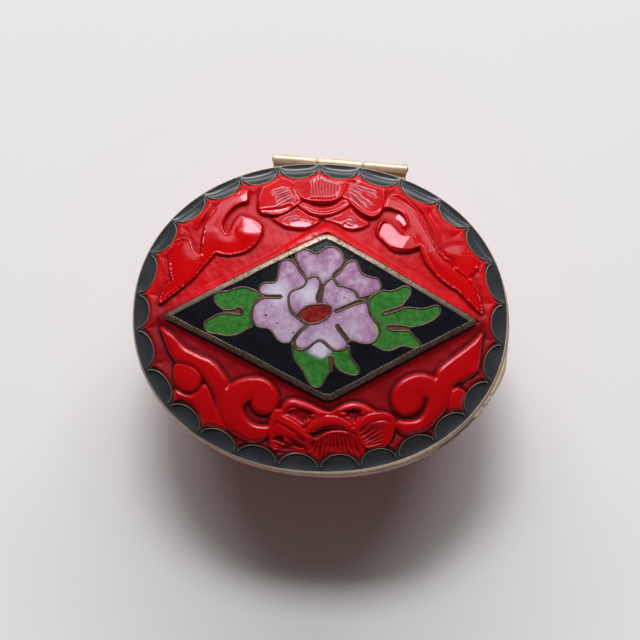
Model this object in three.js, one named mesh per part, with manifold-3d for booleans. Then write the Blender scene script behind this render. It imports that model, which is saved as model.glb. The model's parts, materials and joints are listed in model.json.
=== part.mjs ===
import * as THREE from 'three';
import { mergeVertices } from 'three/addons/utils/BufferGeometryUtils.js';
import Module from 'manifold-3d';

// Small oval hinged box: carved red lacquer over a brass body and a domed lid,
// with black enamel scallop borders and a lozenge enamel plaque on the lid.
// Millimetres. +X along the hinge and the oval's long axis, +Y towards the
// hinge, +Z up. Origin on the ground, at the middle of the whole box's length
// and of its depth with the hinge; the oval body's own centre lies ORIGIN from it.

// ---- driving dimensions --------------------------------------------------
const ORIGIN = [-0.0606, -0.615];  // oval body's centre from the origin
const OVAL_POWER = 2.1;        // superellipse power of every oval
const BODY_A = 28.0;           // body rim half length
const BODY_B = 23.55;          // body rim half width
const BODY_TOP = 21.0;         // height of the body's rim
const RIM_BAND = 1.2;          // height of the plain brass band round the body
const PART_GAP = 0.3;          // open joint between body rim and lid rim
const LID_A = 27.75;           // lid top edge half length
const LID_B = 23.3;            // lid top edge half width
const LID_RIM_HEIGHT = 1.25;   // height of the lid's brass rim
const LID_FLARE = 0.2;         // how far the lid rim spreads towards its foot
const LID_TURN = 2.6;          // degrees the lid sits turned on the body
const LID_X = -0.2;            // lid centre from the body centre
const LID_Y = 0.2;
const DOME_RISE = 3.3;         // rise of the lid's dome above its edge
const WALL = 0.9;              // brass wall
const RIM_WIDTH = 1.7;         // width of the flat meeting faces
const SKIN = 0.55;             // enamel and lacquer thickness at the lid
const SEAT = 0.3;              // gap between neighbouring pieces
const RELIEF = 0.9;            // height of the carving on the lid
const SCALLOPS = 26;           // scallops in each enamel border
const SCALLOP_STEPS = 3;       // straight steps in one scallop
const SCALLOP_NECK = 1.15;     // border width between two scallops
const SCALLOP_DEPTH = 1.37;    // further width in the middle of a scallop
const FOOT_HEIGHT = 1.3;       // foot ring
const FOOT_WIDTH = 1.5;
const FOOT_INSET = 8.4;        // foot ring's outer edge in from the body rim
const FLOOR = 2.3;             // inside floor height
const LACQUER_LOW = 5.3;       // mean lower edge of the body's carved band
const BODY_RELIEF = 0.6;       // depth of the carving on the body
const BODY_UNITS = 11;         // lobes of carving round the body
const BODY_UNIT_AT = -77.5;    // middle of one lobe, degrees
const PLAQUE_TIPS = [[23.5, -0.45], [0.5, 11.9], [-23.4, -1.4], [1.6, -13.4]];
const PLAQUE_BEZEL = 0.75;     // width of the plaque's brass frame
const PLAQUE_STAND = 0.95;     // frame top above the lacquer ground
const HINGE_X = 0.8;           // middle of the hinge
const HINGE_Y = 24.0;          // hinge axis
const HINGE_Z = BODY_TOP + PART_GAP / 2;
const KNUCKLE_LENGTH = 6.55;
const KNUCKLE_PITCH = 6.9;
const KNUCKLE_R = 0.78;
const BORE_R = 0.47;
const PIN_R = 0.38;
const HINGE_NOTCH_R = 1.08;
const TAB_START = -8;          // fluted thumb piece on the lid rim, degrees
const TAB_END = -36;
const TAB_STAND = 0.5;
const RING = 48;               // facets round the plain ovals
const BORDER_RING = SCALLOPS * SCALLOP_STEPS;

const LID_EDGE_Z = BODY_TOP + PART_GAP + LID_RIM_HEIGHT;

// ---- helpers ---------------------------------------------------------------
const smooth = (a, b, v) => { const t = Math.min(1, Math.max(0, (v - a) / (b - a))); return t * t * (3 - 2 * t); };
const sgnpow = (v, p) => Math.sign(v) * Math.pow(Math.abs(v), p);

function oval(a, b, t) {
  return [a * sgnpow(Math.cos(t), 2 / OVAL_POWER), b * sgnpow(Math.sin(t), 2 / OVAL_POWER)];
}

function ovalLoop(a, b, z, n) {
  const loop = [];
  for (let i = 0; i < n; i++) {
    const [x, y] = oval(a, b, (2 * Math.PI * i) / n);
    loop.push([x, y, typeof z === 'function' ? z(x, y, i) : z]);
  }
  return loop;
}

// distance from the oval's centre as a share of its edge, 0 to 1
function ovalShare(x, y) {
  return Math.pow(Math.pow(Math.abs(x / LID_A), OVAL_POWER) + Math.pow(Math.abs(y / LID_B), OVAL_POWER), 1 / OVAL_POWER);
}

function domeZ(x, y) {
  const s = ovalShare(x, y);
  return LID_EDGE_Z + 0.1 + DOME_RISE * (1 - s * s);
}

function geometryFrom(positions, indices) {
  let g = new THREE.BufferGeometry();
  g.setAttribute('position', new THREE.Float32BufferAttribute(positions, 3));
  g.setIndex(indices);
  return g;
}

// Closed body through a run of loops with equal point counts. A loop of one
// point closes an end; wrap joins the last loop back to the first.
function loft(loops, wrap = false) {
  const pos = [];
  const start = [];
  for (const l of loops) {
    start.push(pos.length / 3);
    for (const p of l) pos.push(...p);
  }
  const idx = [];
  const count = wrap ? loops.length : loops.length - 1;
  for (let k = 0; k < count; k++) {
    const A = loops[k], B = loops[(k + 1) % loops.length];
    const a = start[k], b = start[(k + 1) % loops.length];
    const n = Math.max(A.length, B.length);
    for (let i = 0; i < n; i++) {
      const j = (i + 1) % n;
      if (A.length === 1) idx.push(a, b + j, b + i);
      else if (B.length === 1) idx.push(a + i, a + j, b);
      else idx.push(a + i, a + j, b + j, a + i, b + j, b + i);
    }
  }
  return outward(geometryFrom(pos, idx));
}

// turn the faces outward if the loops ran the other way
function outward(g) {
  const p = g.attributes.position, ix = g.index.array;
  let vol = 0;
  const a = new THREE.Vector3(), b = new THREE.Vector3(), c = new THREE.Vector3();
  for (let i = 0; i < ix.length; i += 3) {
    a.fromBufferAttribute(p, ix[i]); b.fromBufferAttribute(p, ix[i + 1]); c.fromBufferAttribute(p, ix[i + 2]);
    vol += a.dot(b.cross(c));
  }
  if (vol < 0) for (let i = 0; i < ix.length; i += 3) [ix[i + 1], ix[i + 2]] = [ix[i + 2], ix[i + 1]];
  return g;
}

const wasm = await Module();
wasm.setup();

function solid(g) {
  let q = g.clone();
  q.deleteAttribute('normal');
  q.deleteAttribute('uv');
  q = mergeVertices(q, 1e-4);
  return new wasm.Manifold(new wasm.Mesh({
    numProp: 3,
    vertProperties: new Float32Array(q.attributes.position.array),
    triVerts: new Uint32Array(q.index.array),
  }));
}

function fromSolid(m) {
  const mesh = m.getMesh();
  return geometryFrom(Array.from(mesh.vertProperties), Array.from(mesh.triVerts));
}

function alongX(g, x, y, z) {
  g.rotateZ(-Math.PI / 2);
  g.translate(x, y, z);
  return g;
}

function block(x0, x1, y0, y1, z0, z1) {
  const g = new THREE.BoxGeometry(x1 - x0, y1 - y0, z1 - z0);
  g.translate((x0 + x1) / 2, (y0 + y1) / 2, (z0 + z1) / 2);
  return g;
}

// lid pieces are drawn about the lid's own centre, then set on the body
function onLid(g) {
  g.rotateZ(THREE.MathUtils.degToRad(LID_TURN));
  g.translate(LID_X, LID_Y, 0);
  return g;
}

// ---- materials -------------------------------------------------------------
const brass = () => new THREE.MeshStandardMaterial({ color: 0x8f7a58, roughness: 0.42, metalness: 0.9 });
const lacquer = () => new THREE.MeshStandardMaterial({ color: 0xb80d10, roughness: 0.33, metalness: 0 });
const enamel = () => new THREE.MeshStandardMaterial({ color: 0x23262a, roughness: 0.28, metalness: 0 });
const plaqueEnamel = () => new THREE.MeshStandardMaterial({ color: 0x0d0e14, roughness: 0.22, metalness: 0 });

const group = new THREE.Group();
const box = new THREE.Group();
box.position.set(ORIGIN[0], ORIGIN[1], 0);
group.add(box);
function add(name, geometry, material) {
  geometry.computeVertexNormals();
  const mesh = new THREE.Mesh(geometry, material);
  mesh.name = name;
  box.add(mesh);
  return mesh;
}

// ---- body ------------------------------------------------------------------
// highest face of the carved band: height, and how far it lies in from the rim
const BODY_PROFILE = [
  [19.5, 0.0], [18.0, 0.0], [16.4, 0.35], [14.0, 1.2], [11.4, 2.45],
  [8.8, 4.0], [6.6, 5.55], [4.4, 7.1], [2.0, 8.6],
];
function bodyInset(z) {
  const P = BODY_PROFILE;
  if (z >= P[0][0]) return P[0][1];
  for (let i = 1; i < P.length; i++) {
    if (z >= P[i][0]) {
      const f = (z - P[i][0]) / (P[i - 1][0] - P[i][0]);
      return P[i][1] + f * (P[i - 1][1] - P[i][1]);
    }
  }
  return P[P.length - 1][1];
}
const SKIN_BODY = 1.1;
const insetLoop = (d, z, n = RING) => ovalLoop(BODY_A - d, BODY_B - d, z, n);
const shellInset = (z) => bodyInset(z) + SKIN_BODY + SEAT;

const shellLoops = [[[0, 0, 0.9]]];
shellLoops.push(insetLoop(FOOT_INSET + FOOT_WIDTH + 0.3, 0.9));
shellLoops.push(insetLoop(FOOT_INSET + FOOT_WIDTH, 0));
shellLoops.push(insetLoop(FOOT_INSET, 0));
shellLoops.push(insetLoop(FOOT_INSET + 0.2, FOOT_HEIGHT));
for (const z of [1.7, 4.4, 6.6, 8.8, 11.4, 14.0, 16.4]) shellLoops.push(insetLoop(shellInset(z), z));
shellLoops.push(insetLoop(shellInset(19.5), BODY_TOP - RIM_BAND));
shellLoops.push(insetLoop(0.05, BODY_TOP - RIM_BAND));
shellLoops.push(insetLoop(0, BODY_TOP - 0.15));
shellLoops.push(insetLoop(0.15, BODY_TOP));
shellLoops.push(insetLoop(RIM_WIDTH + 0.65, BODY_TOP));
for (const z of [17.0, 14.0, 10.6, 7.2, 4.2]) shellLoops.push(insetLoop(shellInset(z) + WALL, z));
shellLoops.push(insetLoop(11.6, FLOOR));
shellLoops.push([[0, 0, FLOOR]]);

const notchTool = () => alongX(new THREE.CylinderGeometry(HINGE_NOTCH_R, HINGE_NOTCH_R, 3 * KNUCKLE_PITCH + 0.5, 16), HINGE_X, HINGE_Y, HINGE_Z);
const bodyShell = solid(loft(shellLoops)).subtract(solid(notchTool()));
add('body_shell', fromSolid(bodyShell), brass());

// scalloped line: how far into one scallop, 0 at its ends and 1 in its middle
function scallop(i) {
  const f = (i % SCALLOP_STEPS) / SCALLOP_STEPS;
  const d = Math.abs(f - 0.5) * 2;
  return f === 0 ? 0 : Math.pow(1 - Math.pow(d, 2.2), 0.5);
}

// carved band round the body: rounded lobes under the rim, each over a leaf;
// gives the depth cut away from the band's highest face
function bodyCut(t, z) {
  const up = (z - LACQUER_LOW) / (19.5 - LACQUER_LOW);
  const turn = (t - THREE.MathUtils.degToRad(BODY_UNIT_AT)) * BODY_UNITS;
  const lobe = Math.cos(turn - 0.9 * (up - 0.75));
  const leaf = Math.cos(turn + Math.PI + 1.2 * (up - 0.3));
  const k = Math.max(smooth(-0.2, 0.6, lobe) * smooth(0.35, 0.6, up), smooth(0, 0.7, leaf) * smooth(0.75, 0.5, up));
  return BODY_RELIEF * (1 - k);
}
const bodyEdge = (i) => LACQUER_LOW - 0.9 + 1.8 * scallop(i);
{
  const rows = [0, 0.12, 0.32, 0.52, 0.72, 0.9, 1];
  const outer = rows.map((r) => {
    const loop = [];
    for (let i = 0; i < BORDER_RING; i++) {
      const t = (2 * Math.PI * i) / BORDER_RING;
      const low = bodyEdge(i) + SEAT / 2;
      const z = low + (19.5 - low) * r;
      const d = bodyInset(z) + (r > 0 ? bodyCut(t, z) : BODY_RELIEF * 0.5);
      const [x, y] = oval(BODY_A - d, BODY_B - d, t);
      loop.push([x, y, z]);
    }
    return loop;
  });
  const inner = [1, 0.75, 0.5, 0.25, 0].map((r) => {
    const loop = [];
    for (let i = 0; i < BORDER_RING; i++) {
      const t = (2 * Math.PI * i) / BORDER_RING;
      const low = bodyEdge(i) + SEAT / 2;
      const z = low + (19.5 - low) * r;
      const d = bodyInset(z) + SKIN_BODY;
      const [x, y] = oval(BODY_A - d, BODY_B - d, t);
      loop.push([x, y, z]);
    }
    return loop;
  });
  add('body_lacquer', loft([...outer, ...inner], true), lacquer());
}
{
  const band = (r, skin) => {
    const loop = [];
    for (let i = 0; i < BORDER_RING; i++) {
      const t = (2 * Math.PI * i) / BORDER_RING;
      const low = FOOT_HEIGHT + 0.6;
      const z = low + (bodyEdge(i) - SEAT / 2 - low) * r;
      const d = bodyInset(z) + skin;
      const [x, y] = oval(BODY_A - d, BODY_B - d, t);
      loop.push([x, y, z]);
    }
    return loop;
  };
  add('body_border', loft([band(0, 0), band(1, 0), band(1, SKIN_BODY), band(0, SKIN_BODY)], true), enamel());
}

// ---- lid -------------------------------------------------------------------
const lidLoop = (out, z) => ovalLoop(LID_A + out, LID_B + out, z, RING);
const domeLoop = (s, drop) => ovalLoop(LID_A * s, LID_B * s, (x, y) => domeZ(x, y) - drop, RING);
const SHELL_DROP = SKIN + SEAT;
const lidLow = BODY_TOP + PART_GAP;
const lidLoops = [
  [[0, 0, domeZ(0, 0) - SHELL_DROP]],
  ...[0.3, 0.55, 0.78, 0.97].map((s) => domeLoop(s, SHELL_DROP)),
  domeLoop(0.985, SHELL_DROP),
  lidLoop(-0.25, LID_EDGE_Z),
  lidLoop(0, LID_EDGE_Z - 0.1),
  lidLoop(LID_FLARE * 0.8, lidLow + 0.5),
  lidLoop(LID_FLARE, lidLow + 0.1),
  lidLoop(LID_FLARE - 0.15, lidLow),
  lidLoop(-RIM_WIDTH, lidLow),
  ...[0.9, 0.72, 0.5, 0.26].map((s) => domeLoop(s, SHELL_DROP + WALL)),
  [[0, 0, domeZ(0, 0) - SHELL_DROP - WALL]],
];
const lidShell = solid(onLid(loft(lidLoops))).subtract(solid(notchTool()));
add('lid_shell', fromSolid(lidShell), brass());

// inner edge of the lid's enamel border, as a width in from the lid's edge
function borderWidth(i) {
  return SCALLOP_NECK + SCALLOP_DEPTH * 0.95 * scallop(i);
}
function borderPoint(i, width) {
  const t = (2 * Math.PI * (i + SCALLOP_STEPS * 0.5)) / BORDER_RING;
  return oval(LID_A - width, LID_B - width, t);
}
{
  const loopAt = (width, drop) => {
    const loop = [];
    for (let i = 0; i < BORDER_RING; i++) {
      const [x, y] = borderPoint(i, width(i));
      loop.push([x, y, domeZ(x, y) - drop]);
    }
    return loop;
  };
  const outer = () => 0.25 + SEAT;
  add('lid_border', onLid(loft([
    loopAt(outer, 0), loopAt((i) => borderWidth(i) - SEAT / 2, 0),
    loopAt((i) => borderWidth(i) - SEAT / 2, SKIN), loopAt(outer, SKIN),
  ], true)), enamel());
}

// lozenge outline: point at share f (0 to 4) round the four sides
function offsetTips(out) {
  const tips = PLAQUE_TIPS, n = tips.length, lines = [];
  for (let i = 0; i < n; i++) {
    const a = tips[i], b = tips[(i + 1) % n];
    const dx = b[0] - a[0], dy = b[1] - a[1], l = Math.hypot(dx, dy);
    lines.push({ p: [a[0] + (dy / l) * out, a[1] - (dx / l) * out], d: [dx / l, dy / l] });
  }
  const r = [];
  for (let i = 0; i < n; i++) {
    const A = lines[(i + n - 1) % n], B = lines[i];
    const det = A.d[0] * B.d[1] - A.d[1] * B.d[0];
    const k = ((B.p[0] - A.p[0]) * B.d[1] - (B.p[1] - A.p[1]) * B.d[0]) / det;
    r.push([A.p[0] + A.d[0] * k, A.p[1] + A.d[1] * k]);
  }
  return r;
}
function lozengeLoop(out, z, steps) {
  const tips = offsetTips(out), loop = [];
  for (let s = 0; s < 4; s++) {
    const a = tips[s], b = tips[(s + 1) % 4];
    for (let k = 0; k < steps; k++) {
      const f = k / steps, x = a[0] + (b[0] - a[0]) * f, y = a[1] + (b[1] - a[1]) * f;
      loop.push([x, y, z(x, y)]);
    }
  }
  return loop;
}

// ---- carving on the lid: lotus flowers front and back, scrolls between ------
function petal(x, y, cx, cy, rx, ry, turn) {
  const c = Math.cos(turn), s = Math.sin(turn), u = (x - cx) * c + (y - cy) * s, v = -(x - cx) * s + (y - cy) * c;
  return 1 - smooth(0.8, 1.1, Math.hypot(u / rx, v / ry));
}
function band(x, y, pts, w) {
  let best = 1e9;
  for (let i = 0; i + 1 < pts.length; i++) {
    const [ax, ay, aw] = pts[i], [bx, by, bw] = pts[i + 1];
    const dx = bx - ax, dy = by - ay;
    const f = Math.min(1, Math.max(0, ((x - ax) * dx + (y - ay) * dy) / (dx * dx + dy * dy)));
    best = Math.min(best, Math.hypot(x - ax - dx * f, y - ay - dy * f) / (aw + (bw - aw) * f));
  }
  return 1 - smooth(0.75, 1.1, best);
}
const LOTUS_BACK = [[-0.2, 19.3, 4.1, 2.9, 0], [-6.2, 16.6, 3.0, 3.9, -0.5], [5.9, 17.0, 3.0, 3.9, 0.5], [0, 15.4, 4.0, 1.4, 0], [-3.8, 13.4, 2.6, 1.0, -0.05], [4.1, 13.9, 2.4, 1.0, 0.05]];
const LOTUS_FRONT = [[2.2, -17.8, 4.4, 3.2, 0], [-3.0, -17.6, 3.6, 3.0, 0.5], [8.0, -16.6, 3.6, 3.2, -0.5], [-1.0, -14.8, 3.9, 1.2, 0.1], [7.0, -14.4, 3.5, 1.2, -0.1]];
const SCROLL = [
  [-22.5, 3.0, 0.6], [-18.2, 5.6, 2.0], [-16.0, 10.0, 2.4], [-13.6, 14.6, 2.0], [-11.6, 16.6, 1.6],
];
const CURL = [[-14.0, 10.0, 2.0], [-12.0, 9.8, 2.2], [-11.6, 11.4, 2.6]];
const LEAF = [[-22.4, 2.6, 0.6], [-20.0, 6.4, 1.7], [-18.8, 9.6, 1.2]];
function lidCarving(x, y) {
  let h = 0;
  for (const p of LOTUS_BACK) h = Math.max(h, petal(x, y, ...p));
  for (const p of LOTUS_FRONT) h = Math.max(h, petal(x, y, ...p));
  const mx = Math.abs(x), my = Math.abs(y + 0.6);
  for (const run of [SCROLL, CURL, LEAF]) h = Math.max(h, 0.95 * band(-mx, my, run));
  return RELIEF * h;
}
{
  // columns run from the plaque's opening out to the scalloped border
  const n = BORDER_RING, tips = offsetTips(SEAT);
  const cx = tips.reduce((a, t) => a + t[0] / 4, 0), cy = tips.reduce((a, t) => a + t[1] / 4, 0);
  const opening = (ang) => {
    let best = 1e9;
    for (let i = 0; i < 4; i++) {
      const a = tips[i], b = tips[(i + 1) % 4];
      const dx = Math.cos(ang), dy = Math.sin(ang), ex = b[0] - a[0], ey = b[1] - a[1];
      const det = dx * -ey + ex * dy;
      const k = ((a[0] - cx) * -ey + ex * (a[1] - cy)) / det;
      const m = (dx * (a[1] - cy) - dy * (a[0] - cx)) / det;
      if (k > 0 && m >= -1e-6 && m <= 1 + 1e-6) best = Math.min(best, k);
    }
    return best;
  };
  // one column of each tip is placed on the tip itself
  const columns = [];
  for (let i = 0; i < n; i++) {
    const [ox, oy] = borderPoint(i, borderWidth(i) + SEAT / 2);
    columns.push({ o: [ox, oy], ang: Math.atan2(oy - cy, ox - cx) });
  }
  for (const t of tips) {
    const ta = Math.atan2(t[1] - cy, t[0] - cx);
    let k = 0, d = 9;
    columns.forEach((c, i) => { const e = Math.abs(Math.atan2(Math.sin(c.ang - ta), Math.cos(c.ang - ta))); if (e < d) { d = e; k = i; } });
    columns[k].tip = t;
  }
  for (const c of columns) {
    const k = opening(c.ang);
    c.i = c.tip ? c.tip : [cx + Math.cos(c.ang) * k, cy + Math.sin(c.ang) * k];
  }
  const row = (f, drop, carve) => columns.map((c) => {
    const x = c.i[0] + (c.o[0] - c.i[0]) * f, y = c.i[1] + (c.o[1] - c.i[1]) * f;
    return [x, y, domeZ(x, y) - drop + (carve ? lidCarving(x, y) : 0)];
  });
  add('lid_lacquer', onLid(loft([
    row(0, 0, false), ...[0.1, 0.23, 0.36, 0.49, 0.62, 0.75, 0.88].map((f) => row(f, 0, true)), row(1, 0, false),
    row(1, SKIN, false), row(0.66, SKIN, false), row(0.33, SKIN, false), row(0, SKIN, false),
  ], true)), lacquer());
}

// ---- plaque ----------------------------------------------------------------
{
  const steps = 6;
  const top = (x, y) => domeZ(x, y) + PLAQUE_STAND;
  const low = (x, y) => domeZ(x, y) - SKIN;
  add('plaque_frame', onLid(loft([
    lozengeLoop(0, low, steps), lozengeLoop(0, (x, y) => top(x, y) - 0.15, steps), lozengeLoop(-0.15, top, steps),
    lozengeLoop(-PLAQUE_BEZEL, top, steps), lozengeLoop(-PLAQUE_BEZEL, low, steps),
  ], true)), brass());
  const pos = [], idx = [], tips = offsetTips(-PLAQUE_BEZEL - SEAT / 2), m = steps;
  const at = (u, v) => {
    const p = [0, 1].map((k) => (1 - u) * (1 - v) * tips[2][k] + u * (1 - v) * tips[3][k] + u * v * tips[0][k] + (1 - u) * v * tips[1][k]);
    return p;
  };
  for (let side = 0; side < 2; side++) {
    for (let i = 0; i <= m; i++) for (let j = 0; j <= m; j++) {
      const [x, y] = at(i / m, j / m);
      pos.push(x, y, side ? low(x, y) : top(x, y) - 0.02);
    }
  }
  const id = (side, i, j) => side * (m + 1) * (m + 1) + i * (m + 1) + j;
  for (let i = 0; i < m; i++) for (let j = 0; j < m; j++) {
    idx.push(id(0, i, j), id(0, i + 1, j), id(0, i + 1, j + 1), id(0, i, j), id(0, i + 1, j + 1), id(0, i, j + 1));
    idx.push(id(1, i, j), id(1, i + 1, j + 1), id(1, i + 1, j), id(1, i, j), id(1, i, j + 1), id(1, i + 1, j + 1));
  }
  for (let k = 0; k < m; k++) {
    const q = (a, b) => idx.push(id(0, ...a), id(1, ...a), id(1, ...b), id(0, ...a), id(1, ...b), id(0, ...b));
    q([k, 0], [k + 1, 0]);
    q([m, k], [m, k + 1]);
    q([m - k, m], [m - k - 1, m]);
    q([0, m - k], [0, m - k - 1]);
  }
  add('plaque_enamel', onLid(outward(geometryFrom(pos, idx))), plaqueEnamel());
}

// ---- hinge -----------------------------------------------------------------
function knuckle(k) {
  const g = new THREE.LatheGeometry([
    new THREE.Vector2(BORE_R, -KNUCKLE_LENGTH / 2), new THREE.Vector2(KNUCKLE_R, -KNUCKLE_LENGTH / 2),
    new THREE.Vector2(KNUCKLE_R, KNUCKLE_LENGTH / 2), new THREE.Vector2(BORE_R, KNUCKLE_LENGTH / 2),
    new THREE.Vector2(BORE_R, -KNUCKLE_LENGTH / 2),
  ], 16);
  return solid(alongX(g, HINGE_X + k * KNUCKLE_PITCH, HINGE_Y, HINGE_Z));
}
const bore = solid(alongX(new THREE.CylinderGeometry(BORE_R, BORE_R, 30, 16), HINGE_X, HINGE_Y, HINGE_Z));
// the outer knuckles reach down to the body's rim by a soldered foot
for (const [name, k] of [['body_knuckle_left', -1], ['body_knuckle_right', 1]]) {
  const xc = HINGE_X + k * KNUCKLE_PITCH, h = KNUCKLE_LENGTH / 2;
  const foot = solid(block(xc - h, xc + h, 21.0, HINGE_Y, HINGE_Z - 0.7, HINGE_Z - 0.28));
  const clear = solid(loft([[[0, 0, 15]], insetLoop(-SEAT, 15), insetLoop(-SEAT, 25), [[0, 0, 25]]]));
  add(name, fromSolid(knuckle(k).add(foot.subtract(clear)).subtract(bore)), brass());
}
add('lid_knuckle', fromSolid(knuckle(0)), brass());
{
  const g = alongX(new THREE.CylinderGeometry(PIN_R, PIN_R, 2 * KNUCKLE_PITCH + KNUCKLE_LENGTH + 0.3, 16), HINGE_X, HINGE_Y, HINGE_Z);
  add('hinge_pin', fromSolid(solid(g)), brass());
}

// ---- fluted thumb piece on the lid's rim ------------------------------------
{
  const n = 16, stand = (f) => {
    const ramp = smooth(0, 0.25, f);
    const teeth = f > 0.5 ? 0.25 * (((f - 0.5) * 6) % 1) : 0;
    return 0.16 + (TAB_STAND - 0.16 - 0.12 * smooth(0.5, 1, f)) * ramp - teeth * 0.9;
  };
  const loops = [];
  for (let i = 0; i <= n; i++) {
    const f = i / n, t = THREE.MathUtils.degToRad(TAB_START + (TAB_END - TAB_START) * f);
    const at = (out, z) => { const [x, y] = oval(LID_A + out, LID_B + out, t); return [x, y, z]; };
    const w = LID_FLARE + 0.1, s = LID_FLARE + Math.max(0.3, stand(f) + 0.1);
    loops.push([at(w, lidLow + 0.12), at(s, lidLow + 0.12), at(s, lidLow + 0.95), at(w, lidLow + 0.95)]);
  }
  const a = loops[0], b = loops[n];
  const mid = (l) => [l.reduce((v, p) => [v[0] + p[0] / 4, v[1] + p[1] / 4, v[2] + p[2] / 4], [0, 0, 0])];
  add('thumb_piece', onLid(loft([mid(a), ...loops, mid(b)])), brass());
}

export default group;
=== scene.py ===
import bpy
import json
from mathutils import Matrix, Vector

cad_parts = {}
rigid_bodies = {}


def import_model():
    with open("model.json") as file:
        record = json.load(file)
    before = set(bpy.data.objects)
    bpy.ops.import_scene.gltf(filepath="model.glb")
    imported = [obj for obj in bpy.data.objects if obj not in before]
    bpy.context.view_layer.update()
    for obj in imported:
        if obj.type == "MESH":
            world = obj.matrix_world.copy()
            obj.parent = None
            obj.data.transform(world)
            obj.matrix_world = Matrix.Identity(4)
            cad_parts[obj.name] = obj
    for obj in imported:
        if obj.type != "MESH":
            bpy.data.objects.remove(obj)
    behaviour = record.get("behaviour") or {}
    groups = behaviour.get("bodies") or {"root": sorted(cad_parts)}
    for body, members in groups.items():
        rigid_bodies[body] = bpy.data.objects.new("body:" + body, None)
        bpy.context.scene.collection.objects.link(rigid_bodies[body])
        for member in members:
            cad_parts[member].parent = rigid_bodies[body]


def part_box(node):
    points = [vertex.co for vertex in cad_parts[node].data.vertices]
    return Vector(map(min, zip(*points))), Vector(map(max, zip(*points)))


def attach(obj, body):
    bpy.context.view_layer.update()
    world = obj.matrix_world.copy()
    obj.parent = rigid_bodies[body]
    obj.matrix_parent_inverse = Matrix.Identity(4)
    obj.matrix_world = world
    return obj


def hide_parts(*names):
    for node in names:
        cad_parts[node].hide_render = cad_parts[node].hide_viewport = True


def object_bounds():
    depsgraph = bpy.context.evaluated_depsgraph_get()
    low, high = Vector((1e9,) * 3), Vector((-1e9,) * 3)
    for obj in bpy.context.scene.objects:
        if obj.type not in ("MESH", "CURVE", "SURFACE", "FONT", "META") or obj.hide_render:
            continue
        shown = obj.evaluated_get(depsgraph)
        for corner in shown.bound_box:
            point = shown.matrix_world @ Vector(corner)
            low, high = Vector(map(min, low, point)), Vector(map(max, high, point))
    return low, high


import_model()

# Looks of a small oval hinged box: carved red lacquer, black enamel scallop borders, aged brass and a lozenge
# cloisonne plaque on the domed lid. Shapes are in millimetres, drawn about the CAD pieces' own boxes.
import json
import math

import bpy
import numpy as np
from mathutils import Vector

MM = 0.001
cad_lo, cad_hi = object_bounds()
rng = np.random.default_rng(11)


def mm_box(node):
    lo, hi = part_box(node)
    return np.array(lo) / MM, np.array(hi) / MM


def middle(node):
    lo, hi = mm_box(node)
    return (lo + hi) / 2


POW = 2.1
BODY_C = middle("body_border")[:2]
LID_C = middle("lid_border")[:2]
LID_TURN = math.radians(2.6)
TOP_Z = float(mm_box("body_shell")[1][2])
LID_LOW = float(mm_box("lid_shell")[0][2])
EDGE_Z = LID_LOW + 1.25
BODY_A, BODY_B = 28.0, 23.55
LID_A, LID_B = 27.75, 23.3
RISE = 3.3
HINGE = middle("hinge_pin")
NOTCH_R = 1.06
FOOT_H = 1.3
FLOOR_Z = 2.3
LACQUER_TOP = float(mm_box("body_lacquer")[1][2])
LACQUER_MID = 5.3

# cusps of the enamel border, as angles round the lid
CUSPS = np.radians([6.4, 22.5, 37.9, 51.6, 66.7, 80.2, 91.9, 104.2, 117.1, 130.6, 144.9, 159.4, 175.2,
                    187.5, 202.5, 218.0, 232.1, 245.9, 259.3, 271.2, 283.2, 295.5, 309.1, 323.1, 337.8, 352.6])
NECK, DEEP = 1.15, 1.32

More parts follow.
